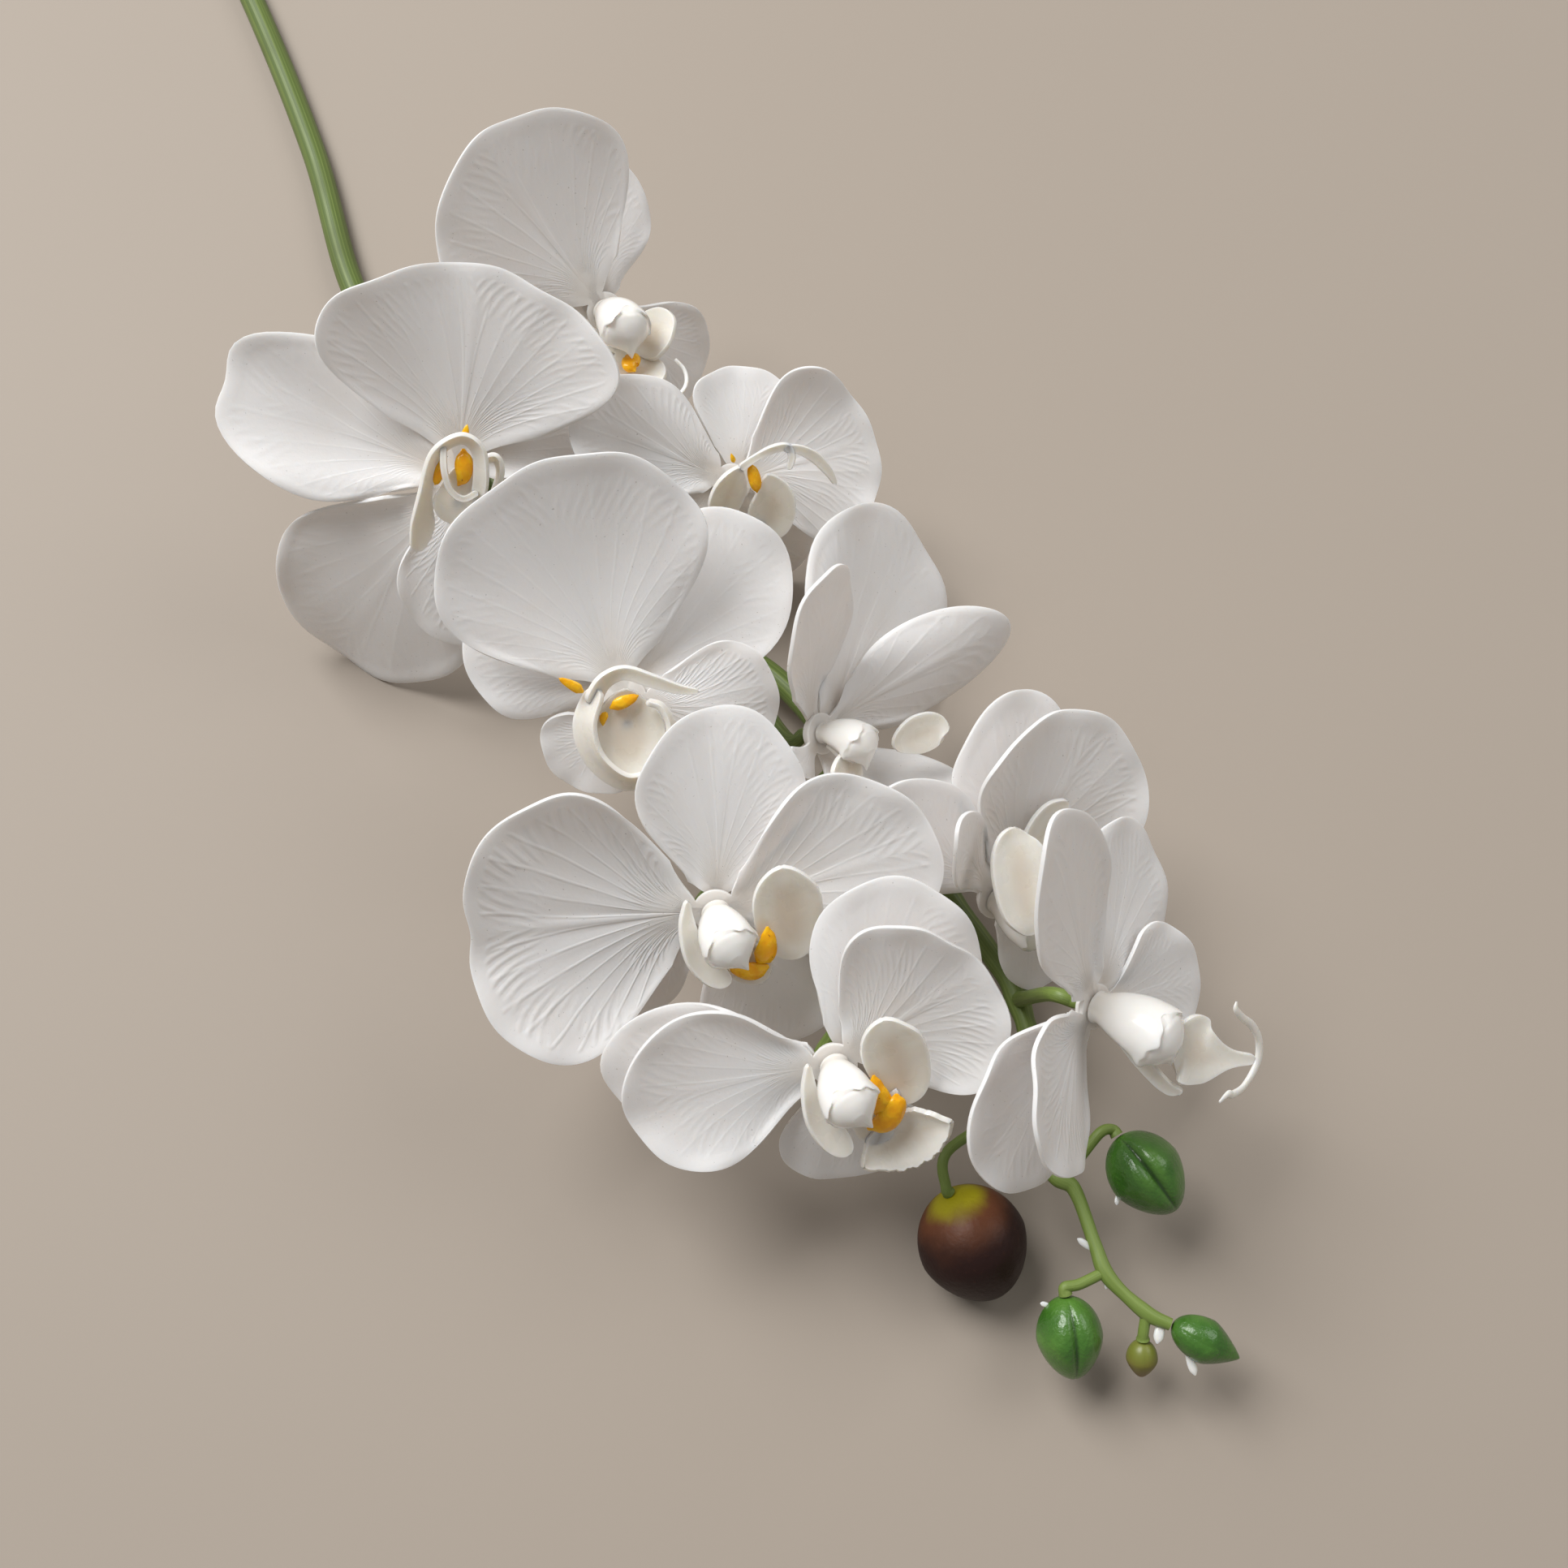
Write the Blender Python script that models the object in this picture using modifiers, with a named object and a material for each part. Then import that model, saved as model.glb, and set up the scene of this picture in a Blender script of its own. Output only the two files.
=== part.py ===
"""A spray of white moth orchid lying on a table: cut stem, nine open blooms, five buds.

The table is z = 0. Design sizes are in millimetres and degrees, and the meshes in metres.
Places are given in the table's frame, X to the right and Y away from the viewer.
One empty then turns the whole spray, so that its length runs along +X.
"""

import math

import bmesh
import bpy
import numpy as np
from mathutils import Matrix, Vector

MM = 0.001
GAP = 0.35

# Driving dimensions of the whole spray
SPRAY_TURN = 57.0
SPRAY_CENTRE = (-85.6, 255.3)
BLOOM_SCALE = 1.04
SHEET_THICKNESS = 0.8
LIP_THICKNESS = 1.0
PEDICEL_RADIUS = 1.5

# Sheets: a small round hub with lobes that fan out from its rim
PETAL_HUB = 4.5
SEPAL_HUB = 4.0
LIP_HUB = 2.2
SHEET_PITCH = SHEET_THICKNESS + 0.5

# How far from the hub a lobe takes to reach its full tilt, and its full width as a share of length
SETTLE = 5.0
CLAW_REACH = 0.28
NOTCH_ANGLE = 7.0
SPINE_STEPS = 48
RIM_STEP = 45.0
RING_SPACING = 0.85


def lobe(angle, length, width, **shape):
    """A petal, sepal or lip lobe: clock angle in its sheet, size, and how it bends, in degrees.

    tilt leaves the hub forwards, bend adds slope along the length, cup is the slope at the left
    and right edge, and roll turns the whole lobe about its midline. notch is a shallow cut in the
    tip and claw how much narrower the lobe is near the hub, as shares. The lobe's rays leave the
    hub within base of its midline and end within fan of it.
    """
    settings = {
        "tilt": 0.0,
        "bend": 0.0,
        "cup": (0.0, 0.0),
        "roll": 0.0,
        "notch": 0.0,
        "fan": 74.0,
        "base": 30.0,
        "claw": 0.5,
    }
    settings.update(shape)
    settings.update(angle=angle, length=length * BLOOM_SCALE, width=width * BLOOM_SCALE)
    return settings


def spine(form, hub):
    """Distance, way out and rise of a lobe's midline, and its slope, at even steps."""
    run = np.linspace(0.0, form["length"], SPINE_STEPS)
    part = run / (form["length"] - hub)
    slope = np.radians(form["tilt"] * (1.0 - np.exp(-run / SETTLE)) + form["bend"] * part)
    step = run[1] - run[0]
    mid = (slope[1:] + slope[:-1]) / 2.0
    out = np.concatenate([[0.0], np.cumsum(np.cos(mid)) * step])
    rise = np.concatenate([[0.0], np.cumsum(np.sin(mid)) * step])
    return run, out, rise, slope


def lobe_points(form, hub, along, ray):
    """Points of a lobe in its sheet's frame: along from 0 at the hub to 1, ray in degrees."""
    angle = np.radians(ray)
    base = np.radians(ray * form["base"] / form["fan"])
    ratio = ((form["length"] - hub) / form["width"]) ** 2
    reach = (form["length"] - hub) * np.cos(angle)
    reach = reach / (np.cos(angle) ** 2 + ratio * np.sin(angle) ** 2)
    reach = reach * (1.0 - form["notch"] * np.exp(-((ray / NOTCH_ANGLE) ** 2)))
    x = hub * np.cos(base) + along * reach * np.cos(angle)
    y = hub * np.sin(base) + along * reach * np.sin(angle)
    free = 1.0 - np.exp(-along * reach / SETTLE)
    gone = along * reach * np.cos(angle)
    narrow = (1.0 - np.exp(-gone)) * np.exp(-((gone / CLAW_REACH / form["length"]) ** 2))
    y = y * (1.0 - form["claw"] * narrow)

    run, out, rise, slope = spine(form, hub)
    past = np.maximum(x - hub * np.cos(base), 0.0)
    mid_out = hub * np.cos(base) + np.interp(past, run, out)
    mid_rise = np.interp(past, run, rise)
    mid_slope = np.interp(past, run, slope)

    side = y / (form["width"] / 2.0)
    cup = np.radians(np.where(y > 0.0, form["cup"][0], form["cup"][1])) * free
    turn = np.abs(side) * cup
    across = y * np.sinc(turn / (2.0 * np.pi)) * np.cos(turn / 2.0)
    lift = np.abs(y) * np.sinc(turn / (2.0 * np.pi)) * np.sin(turn / 2.0)
    roll = np.radians(form["roll"]) * free
    across, lift = (
        across * np.cos(roll) - lift * np.sin(roll),
        across * np.sin(roll) + lift * np.cos(roll),
    )

    x = mid_out - lift * np.sin(mid_slope)
    z = mid_rise + lift * np.cos(mid_slope)
    heading = math.radians(form["angle"])
    out_x = x * math.cos(heading) - across * math.sin(heading)
    out_y = x * math.sin(heading) + across * math.cos(heading)
    return np.stack([out_x, out_y, z], axis=-1)


def hub_arc(here, after, hub):
    """Points on the hub's rim across the open gap between two neighbouring lobes."""
    start = here["angle"] + here["base"]
    gap = (after["angle"] - after["base"] - start) % 360.0
    count = int(gap // RIM_STEP)
    turn = np.radians(start + gap * np.arange(1, count + 1) / (count + 1))
    return np.stack([hub * np.cos(turn), hub * np.sin(turn), 0.0 * turn], axis=-1)


def sheet_surface(lobes, hub, rings, rays):
    """Vertices and triangles of an open sheet: the hub's disc with its lobes, in millimetres."""
    points = [np.zeros((1, 3))]
    faces = []
    rims = []
    ordered = sorted(lobes, key=lambda item: item["angle"])
    for form, after in zip(ordered, ordered[1:] + ordered[:1]):
        along = np.linspace(0.0, 1.0, rings + 1) ** RING_SPACING
        ray = np.linspace(-form["fan"], form["fan"], rays + 1)
        grid_along, grid_ray = np.meshgrid(along, ray, indexing="ij")
        first = sum(len(block) for block in points)
        points.append(lobe_points(form, hub, grid_along, grid_ray).reshape(-1, 3))
        index = first + np.arange((rings + 1) * (rays + 1)).reshape(rings + 1, rays + 1)
        first += index.size
        points.append(hub_arc(form, after, hub))
        rims.append(np.concatenate([index[0], first + np.arange(len(points[-1]))]))
        for i in range(rings):
            for j in range(rays):
                a, b = index[i, j], index[i + 1, j]
                c, d = index[i + 1, j + 1], index[i, j + 1]
                if j < rays / 2:
                    faces += [(a, b, c), (a, c, d)]
                else:
                    faces += [(a, b, d), (b, c, d)]
    rim = [int(v) for arc in rims for v in arc]
    for here, after in zip(rim, rim[1:] + rim[:1]):
        faces.append((0, here, after))
    return np.concatenate(points), [tuple(int(v) for v in face) for face in faces]


def material(name, colour, roughness):
    made = bpy.data.materials.new(name)
    made.use_nodes = True
    shader = made.node_tree.nodes["Principled BSDF"]
    shader.inputs["Base Color"].default_value = (*colour, 1.0)
    shader.inputs["Roughness"].default_value = roughness
    shader.inputs["Metallic"].default_value = 0.0
    made.diffuse_color = (*colour, 1.0)
    return made


def add_object(name, mesh, surface, parent, collection):
    obj = bpy.data.objects.new(name, mesh)
    collection.objects.link(obj)
    obj.parent = parent
    if surface:
        mesh.materials.append(surface)
    return obj


def sheet(name, lobes, hub, grid, thickness, surface, parent, collection):
    """A thin closed sheet with lobes: an open surface and a Solidify."""
    points, faces = sheet_surface(lobes, hub, *grid)
    mesh = bpy.data.meshes.new(name)
    mesh.from_pydata((points * MM).tolist(), [], faces)
    mesh.update()
    obj = add_object(name, mesh, surface, parent, collection)
    solid = obj.modifiers.new("Thickness", "SOLIDIFY")
    solid.thickness = thickness * MM
    solid.offset = 0.0
    mesh.shade_smooth()
    return obj


def band_rows(rows, steps, cells):
    """Points across a band: rows of place, half width and how far its left edge is raised."""
    path = np.array(smooth_path(rows, steps))
    ahead = np.gradient(path[:, :3], axis=0)
    left = np.cross((0.0, 0.0, 1.0), ahead)
    left = left / np.linalg.norm(left, axis=1, keepdims=True)
    lean = np.radians(path[:, 4:])
    across = path[:, 3:4] * (np.cos(lean) * left + np.sin(lean) * np.array((0.0, 0.0, 1.0)))
    share = np.linspace(1.0, -1.0, cells + 1)
    return path[:, None, :3] + share[None, :, None] * across[:, None, :]


def band(name, rows, thickness, surface, parent, collection):
    """A thin closed strip, such as a curled part of a lip."""
    grid = band_rows(rows, *BAND_GRID)
    index = np.arange(grid.shape[0] * grid.shape[1]).reshape(grid.shape[:2])
    faces = []
    corners = (index[:-1, :-1], index[1:, :-1], index[1:, 1:], index[:-1, 1:])
    for a, b, c, d in zip(*(corner.ravel().tolist() for corner in corners)):
        faces += [(a, b, c), (a, c, d)]
    mesh = bpy.data.meshes.new(name)
    mesh.from_pydata((grid.reshape(-1, 3) * MM).tolist(), [], faces)
    mesh.update()
    obj = add_object(name, mesh, surface, parent, collection)
    solid = obj.modifiers.new("Thickness", "SOLIDIFY")
    solid.thickness = thickness * MM
    solid.offset = 0.0
    return obj


def tube(name, points, radii, sides, surface, parent, collection):
    """A closed tube along points in millimetres, a mesh made from a bevelled curve."""
    curve = bpy.data.curves.new(name, "CURVE")
    curve.dimensions = "3D"
    curve.bevel_depth = MM
    curve.bevel_resolution = (sides - 4) // 2
    curve.use_fill_caps = True
    path = curve.splines.new("POLY")
    path.points.add(len(points) - 1)
    for knot, point, radius in zip(path.points, points, radii):
        knot.co = (*(Vector(point) * MM), 1.0)
        knot.radius = radius
    guide = bpy.data.objects.new(name + "_path", curve)
    collection.objects.link(guide)
    bpy.context.view_layer.update()
    graph = bpy.context.evaluated_depsgraph_get()
    mesh = bpy.data.meshes.new_from_object(guide.evaluated_get(graph))
    bpy.data.objects.remove(guide)
    bpy.data.curves.remove(curve)
    welded = bmesh.new()
    welded.from_mesh(mesh)
    bmesh.ops.remove_doubles(welded, verts=welded.verts, dist=0.00001)
    bmesh.ops.recalc_face_normals(welded, faces=welded.faces)
    bmesh.ops.triangulate(welded, faces=welded.faces)
    welded.to_mesh(mesh)
    welded.free()
    mesh.name = name
    mesh.materials.clear()
    mesh.shade_smooth()
    return add_object(name, mesh, surface, parent, collection)


def fuse(body, others, operation="UNION", own_walls=False):
    """Joins the other objects to the body, or cuts them from it, and removes them.

    own_walls also clears away the places where the body's own walls cross each other.
    """
    helpers = bpy.data.collections.new("helpers")
    bpy.context.scene.collection.children.link(helpers)
    for other in others:
        for home in list(other.users_collection):
            home.objects.unlink(other)
        helpers.objects.link(other)
    cut = body.modifiers.new("Join", "BOOLEAN")
    cut.operation = operation
    cut.operand_type = "COLLECTION"
    cut.collection = helpers
    cut.use_self = own_walls
    bpy.context.view_layer.update()
    graph = bpy.context.evaluated_depsgraph_get()
    mesh = bpy.data.meshes.new_from_object(body.evaluated_get(graph))
    old = body.data
    body.modifiers.clear()
    body.data = mesh
    mesh.name = body.name
    bpy.data.meshes.remove(old)
    for other in others:
        bpy.data.objects.remove(other)
    bpy.data.collections.remove(helpers)
    return body


def smooth_path(knots, steps):
    """A round curve through the knots (Catmull-Rom), with this many steps to each stretch."""
    rows = [np.array(knot, float) for knot in knots]
    rows = [2 * rows[0] - rows[1]] + rows + [2 * rows[-1] - rows[-2]]
    path = []
    for a, b, c, d in zip(rows, rows[1:], rows[2:], rows[3:]):
        for t in np.arange(steps) / steps:
            curve = 2 * b + (c - a) * t
            curve = curve + (2 * a - 5 * b + 4 * c - d) * t**2
            curve = curve + (3 * b - a - 3 * c + d) * t**3
            path.append(curve / 2.0)
    path.append(rows[-2])
    return [tuple(float(v) for v in point) for point in path]


def facing_matrix(centre, azimuth, elevation):
    """A bloom's frame: z along its facing, y the way that is most away from the viewer."""
    az, el = math.radians(azimuth), math.radians(elevation)
    front = Vector((math.cos(az) * math.cos(el), math.sin(az) * math.cos(el), math.sin(el)))
    up = Vector((0.0, 1.0, 0.0))
    up = (up - front * up.dot(front)).normalized()
    side = up.cross(front)
    turn = Matrix((side, up, front)).transposed().to_4x4()
    return Matrix.Translation(Vector(centre) * MM) @ turn


# Each bloom: its hub's place, the way it faces, the way its lip hangs (clock angle as seen from
# its front), the size of its centre, its sepals and its petals.
BLOOMS = {
    1: {
        "centre": (-42, 250, 45),
        "facing": (-55, 42),
        "lip": -60,
        "size": 1.2,
        "sepals": [
            lobe(110, 34, 25, tilt=-14, claw=0.65),
            lobe(190, 34, 27, tilt=-15, claw=0.65),
            lobe(-16, 31, 27, tilt=-12),
        ],
        "petals": [
            lobe(150, 46, 49, tilt=6, bend=4, cup=(10, 10)),
            lobe(-66, 28, 28, tilt=-4, bend=-8),
        ],
    },
    2: {
        "centre": (-72, 201, 50),
        "facing": (-75, 52),
        "lip": -95,
        "size": 1.2,
        "stub": 0.28,
        "bands": [
            [
                (-7.5, -17, 3.5, 1.4, 15),
                (-6.4, -11, 5, 2.6, 20),
                (-6.2, -4, 7.5, 1.6, 35),
                (-4.6, 4.5, 9.5, 1.4, 45),
                (0.5, 8.6, 10.5, 1.4, 45),
                (4.4, 6.5, 10, 1.6, 35),
                (5.4, 0.5, 9, 1.7, 25),
                (4.8, -5, 7, 1.6, 15),
            ],
            [
                (-3, 6.6, 10, 0.7, 0),
                (-2.4, 1.5, 10.5, 0.7, 0),
                (-0.8, -2.6, 10, 0.7, 0),
                (2, -4.2, 9.5, 0.7, 0),
                (5, -2.5, 8.6, 0.7, 0),
            ],
            [
                (4.8, 4, 8.4, 0.8, 40),
                (8, 5.2, 7.5, 1.2, 50),
                (9.4, 2.2, 6.5, 1.1, 60),
                (8.2, -3, 5, 0.8, 60),
            ],
            [
                (-0.5, -10, 5.4, 3.4, 0),
                (0, -6.5, 6.2, 4.6, 0),
                (1.5, -1, 6.4, 3.6, 0),
                (2.5, 3.5, 6.6, 1.8, 0),
            ],
        ],
        "stalk": [(0.4, -2.6, 1.3), (0.8, -4.4, 3.2), (0.6, -6, 6.2)],
        "crest": [(1.2, 5.4, 8.4, 0.8), (1.4, 2.6, 8.6, 1.3), (1.4, -0.4, 8.3, 0.7)],
        "sepals": [
            lobe(164, 54, 33, tilt=-10, cup=(20, 20), notch=0.06),
            lobe(241, 62, 46, tilt=-15, bend=-34, claw=0.6, fan=62),
            lobe(46, 34, 30, tilt=-15),
        ],
        "petals": [
            lobe(88, 43, 60, tilt=6, bend=8, cup=(20, 20)),
            lobe(280, 38, 28, tilt=-6, bend=-5),
        ],
    },
    3: {
        "centre": (-32.5, 144.5, 54),
        "facing": (-78, 58),
        "lip": -55,
        "size": 1.2,
        "stub": 0.22,
        "bands": [
            [
                (-5.6, 2.6, 7, 2.2, 40),
                (-7.6, -5, 7, 3.0, 45),
                (-5, -12, 6.5, 2.8, 45),
                (1.5, -16, 6.5, 2.4, 45),
                (8, -12.5, 7, 1.8, 50),
                (9.4, -5, 8, 1.2, 55),
                (7.4, -0.6, 8.5, 0.9, 55),
                (4.2, 0.6, 8.8, 0.7, 55),
            ],
            [
                (-7, -1, 6.6, 2.0, 35),
                (-4.6, 3.8, 7.4, 1.8, 35),
                (-0.5, 6, 8.5, 1.5, 25),
                (5, 4.7, 8.6, 1.4, 15),
                (10.5, 3.3, 8, 1.0, 10),
                (14.5, 3, 7.4, 0.5, 0),
            ],
            [
                (0, 2.5, 5.6, 3, 0),
                (0.5, -3, 5.2, 7, 0),
                (1, -9, 5.2, 7.4, 0),
                (2, -15.5, 5.8, 3.4, 0),
            ],
        ],
        "stalk": [(0.3, -2.6, 1.3), (0.6, -4, 3), (0.8, -5, 5.2)],
        "crest": [(-2.6, -1.2, 7.2, 0.6), (-1, -0.4, 7.3, 1.0), (1, 0.2, 7.2, 0.5)],
        "sepals": [
            lobe(155, 34, 27, tilt=-8, claw=0.6, fan=64),
            lobe(53, 45, 31, tilt=-8),
            lobe(240, 21, 19, tilt=-14, claw=0.6, fan=60),
        ],
        "petals": [
            lobe(114, 49, 53, tilt=6, bend=12, cup=(22, 18)),
            lobe(-10, 31, 31, tilt=-4, bend=-6),
        ],
    },
    4: {
        "centre": (-12, 207, 38),
        "facing": (-60, 50),
        "lip": -55,
        "size": 1.1,
        "stub": 0.28,
        "bands": [
            [
                (-2, -8.5, 2.8, 2.6, 0),
                (-2.3, -4, 5.4, 4.0, 10),
                (-2, 0, 7.5, 3.6, 15),
                (-1.5, 3.8, 9, 1.0, 15),
            ],
            [
                (8.6, -11, 2.6, 3.2, 0),
                (9.3, -6, 4.6, 5.2, -10),
                (8.2, -1, 6.6, 4.8, -15),
                (5.4, 3.6, 8, 1.4, -15),
            ],
            [(-3, -6.6, 4, 1.3, 0), (3, -7.4, 3.2, 1.5, 0), (9, -7.6, 4, 1.3, 0)],
            [
                (-1.6, 3.2, 8.9, 0.9, 0),
                (1.4, 6.4, 9.4, 0.8, 0),
                (4.8, 9.2, 10, 0.9, 20),
                (7.8, 10.2, 10.5, 0.9, 20),
                (9.3, 8.4, 10.5, 0.8, 20),
                (9.4, 5.6, 10, 0.6, 20),
            ],
            [
                (7, 9.8, 10.5, 0.8, 10),
                (10.4, 10.4, 10.5, 1.0, 10),
                (14.7, 9.6, 10, 1.2, 10),
                (18.9, 7.3, 9.5, 1.0, 10),
                (21.5, 5, 9, 0.5, 10),
            ],
        ],
        "stalk": [(0.3, -2.6, 1.4), (0.8, -4.6, 2.2), (1.6, -7, 3.2)],
        "crest": [(1.2, 4.2, 8.2, 0.5), (2.3, 2, 8, 0.9), (3.2, 0, 7.6, 0.5)],
        "sepals": [
            lobe(80, 26, 28, tilt=-12),
            lobe(205, 26, 24, tilt=-15),
            lobe(-50, 39, 30, tilt=-17, bend=-53),
        ],
        "petals": [
            lobe(168, 38, 26, tilt=-3),
            lobe(30, 34, 38, tilt=8, cup=(20, 10)),
        ],
    },
    5: {
        "centre": (8, 145, 36),
        "facing": (-20, 40),
        "lip": -60,
        "size": 1.0,
        "middle": 11,
        "cirri": False,
        "sepals": [
            lobe(64, 63, 48, tilt=-8),
            lobe(130, 39, 24, tilt=34, roll=12, fan=52, base=24),
            lobe(-36, 42, 30, tilt=52, fan=56),
        ],
        "petals": [
            lobe(50, 50, 20, tilt=30, cup=(-30, -30), fan=46, base=24),
            lobe(243, 11, 7, tilt=0, fan=40, base=20),
        ],
    },
    6: {
        "centre": (44.5, 109.5, 31),
        "facing": (-60, 42),
        "lip": -10,
        "size": 1.15,
        "middle": 10,
        "cirri": False,
        "sepals": [
            lobe(156, 36, 22, tilt=-2, claw=0.6, fan=56, base=26),
            lobe(96, 42, 28, tilt=-13, fan=56, base=26),
            lobe(-20, 29, 24, tilt=-4),
        ],
        "petals": [
            lobe(83, 42, 38, tilt=8, cup=(20, 20)),
            lobe(146, 35, 13, tilt=38, roll=22, fan=50, base=24),
        ],
    },
    7: {
        "centre": (-13.5, 101, 48),
        "facing": (-80, 48),
        "lip": -48,
        "size": 1.1,
        "middle": 6,
        "sides": ((9, 9), (17, 14)),
        "cirri": False,
        "sepals": [
            lobe(92, 39, 31, tilt=-6, cup=(15, 5)),
            lobe(210, 34, 30, tilt=-12),
            lobe(-44, 34, 36, tilt=-5),
        ],
        "petals": [
            lobe(186, 48, 53, tilt=0, bend=18, cup=(22, 14), notch=0.05),
            lobe(22, 44, 38, tilt=-5, bend=10, cup=(10, 15)),
        ],
    },
    8: {
        "centre": (9.7, 71.5, 43),
        "facing": (-85, 50),
        "lip": -45,
        "size": 1.12,
        "middle": 14,
        "sides": ((13, 10), (16, 13)),
        "sepals": [
            lobe(62, 38, 32, tilt=-8),
            lobe(187, 44, 26, tilt=-7),
            lobe(-75, 28, 26, tilt=-15),
        ],
        "petals": [
            lobe(188, 40, 30, tilt=0, bend=26, cup=(24, 12)),
            lobe(41, 34, 38, tilt=5, bend=10, cup=(15, 15)),
        ],
    },
    9: {
        "centre": (60, 82, 47),
        "facing": (-30, 38),
        "lip": -38,
        "size": 1.3,
        "sepals": [
            lobe(69, 40, 30, tilt=-15, fan=56, base=24),
            lobe(20, 33, 26, tilt=5, claw=0.6, fan=50, base=20),
            lobe(246, 39, 30, tilt=0),
        ],
        "petals": [
            lobe(144, 47, 24, tilt=13),
            lobe(240, 35, 30, tilt=24, roll=-5),
        ],
    },
}

# The main stem from its cut end to its tip: place and radius
STEM = [
    ((-215, 520, 3.1), 3.4),
    ((-186, 458, 3.1), 3.4),
    ((-157, 399, 3.1), 3.4),
    ((-132, 340, 3.1), 3.35),
    ((-115, 290, 4.0), 3.3),
    ((-92, 250, 6), 3.2),
    ((-60, 214, 8), 3.0),
    ((-26, 188, 9), 2.9),
    ((1, 169, 9), 2.8),
    ((26, 133, 8), 2.6),
    ((45, 106, 7), 2.4),
    ((51, 94, 8), 2.2),
    ((54, 75, 12), 1.9),
    ((54.4, 56.5, 17), 1.5),
    ((58.8, 51.9, 17.5), 1.4),
    ((62, 41.3, 18), 1.35),
    ((64.3, 34.8, 18), 1.3),
    ((71, 28.2, 18), 1.25),
    ((75.7, 25.9, 18), 1.2),
]

# How far behind its bloom a pedicel turns to meet it squarely
PEDICEL_RUN_IN = (9.0, 3.0, 0.0)

# Where each bloom's pedicel leaves the main stem
PEDICEL_ROOTS = {
    1: (-92, 250, 6),
    2: (-76, 231, 7),
    3: (-43, 200, 8.5),
    4: (-26, 188, 9),
    5: (-13, 179, 9),
    6: (26, 133, 8),
    7: (14, 151, 8.5),
    8: (36, 118, 7.5),
    9: (51, 94, 8),
}

# Buds: the pedicel's path from the main stem, then the bud's centre, axis, length and width
BUDS = {
    "bud_brown": {
        "path": [(53, 84, 10), (44, 68, 15), (33, 59, 19)],
        "centre": (38.7, 42.2, 10.2),
        "axis": (0.42, -0.72, -0.55),
        "length": 24.5,
        "width": 22.5,
        "flat": True,
        "look": "brown",
    },
    "bud_green_1": {
        "path": [(56, 54, 17), (60, 58, 20), (64, 62.5, 22)],
        "centre": (73.2, 54.7, 20),
        "axis": (0.6, -0.8, -0.1),
        "length": 18,
        "width": 15,
        "look": "bud",
    },
    "bud_green_2": {
        "path": [(64, 36, 18), (58.5, 33.5, 18)],
        "centre": (56.5, 23.8, 14),
        "axis": (0.1, -0.9, -0.4),
        "length": 16.3,
        "width": 13,
        "look": "bud",
    },
    "bud_green_3": {
        "path": [],
        "centre": (82.6, 22.8, 17),
        "axis": (0.9, -0.42, -0.14),
        "length": 14.5,
        "width": 8.8,
        "look": "bud",
    },
    "bud_olive": {
        "path": [(71.2, 28.1, 18)],
        "centre": (70.6, 19.9, 13),
        "axis": (0.0, -0.8, -0.6),
        "length": 8,
        "width": 6.2,
        "look": "olive",
    },
}
BUD_NECK = 1.1
BUD_RUN_IN = 1.5
BUD_TAPER = 0.35

# Rings along a lobe and cells across it, and steps to each stretch of a band and cells across it
PETAL_GRID = (3, 8)
SEPAL_GRID = (3, 8)
LIP_GRID = (3, 4)
BAND_GRID = (2, 2)

# The flower's centre, at size 1, in a frame with x away from the column along the lip's way
COLUMN_PATH = [(0, 0, 0.75), (0.1, 0, 2.6), (0.7, 0, 5.5), (2.0, 0, 9.0), (3.6, 0, 12.0), (4.4, 0, 13.4)]
COLUMN_RADII = [2.6, 2.5, 3.1, 4.2, 4.6, 2.6]
LIP_PLACE = (6.3, 0.0, 3.3)
LIP_RISE = 42.0
CALLUS_PATH = [(4.6, 0, 2.2), (6.6, 0, 2.8), (8.6, 0, 3.2)]
CALLUS_RADII = [0.8, 1.3, 0.7]
MIDDLE_LOBE = 14
MIDDLE_WIDTH = 12
SIDE_LOBES = ((13, 10), (13, 10))
SIDE_ANGLE = 78
SIDE_RISE = 62

# The two curled ribbons at the lip's tip: turn and rise of each step, and the curl's half widths
CIRRUS_RADIUS = 0.75
CIRRUS_STEPS = 7
CIRRUS_TURN = 38.0
CIRRUS_RISE = 0.55
CIRRUS_CURL = (3.8, 3.4)
CIRRUS_TAPER = 0.06
CLAW_FOOT = (3.4, 0.0, 2.0)
CLAW_RADIUS = 1.1

# The block that flattens what the spray rests on: its side and its depth
FLAT_REACH = 400.0
FLAT_DEPTH = 10.0


def lip_lobes(form):
    """The lip's two side lobes and its middle lobe."""
    size = form["size"]
    left, right = form.get("sides", SIDE_LOBES)
    middle = form.get("middle", MIDDLE_LOBE)
    raised = {"tilt": SIDE_RISE, "cup": (15, 15), "fan": 60}
    return [
        lobe(-SIDE_ANGLE, left[0] * size, left[1] * size, **raised),
        lobe(0, middle * size, MIDDLE_WIDTH * size, tilt=5, bend=25, cup=(28, 28), fan=60),
        lobe(SIDE_ANGLE, right[0] * size, right[1] * size, **raised),
    ]


def cirrus_path(middle_lobe, size, side):
    """One of the two curled ribbons at the middle lobe's tip, in the lip's frame."""
    tip = lobe_points(middle_lobe, LIP_HUB * size, np.array([0.9]), np.array([side * 8.0]))[0]
    path = []
    for k in range(CIRRUS_STEPS):
        turn = math.radians(CIRRUS_TURN * k)
        ahead = CIRRUS_CURL[0] * size * math.sin(turn)
        aside = CIRRUS_CURL[1] * size * (1.0 - math.cos(turn))
        path.append((tip[0] + ahead, tip[1] + side * aside, tip[2] + CIRRUS_RISE * size * k))
    return path


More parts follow.
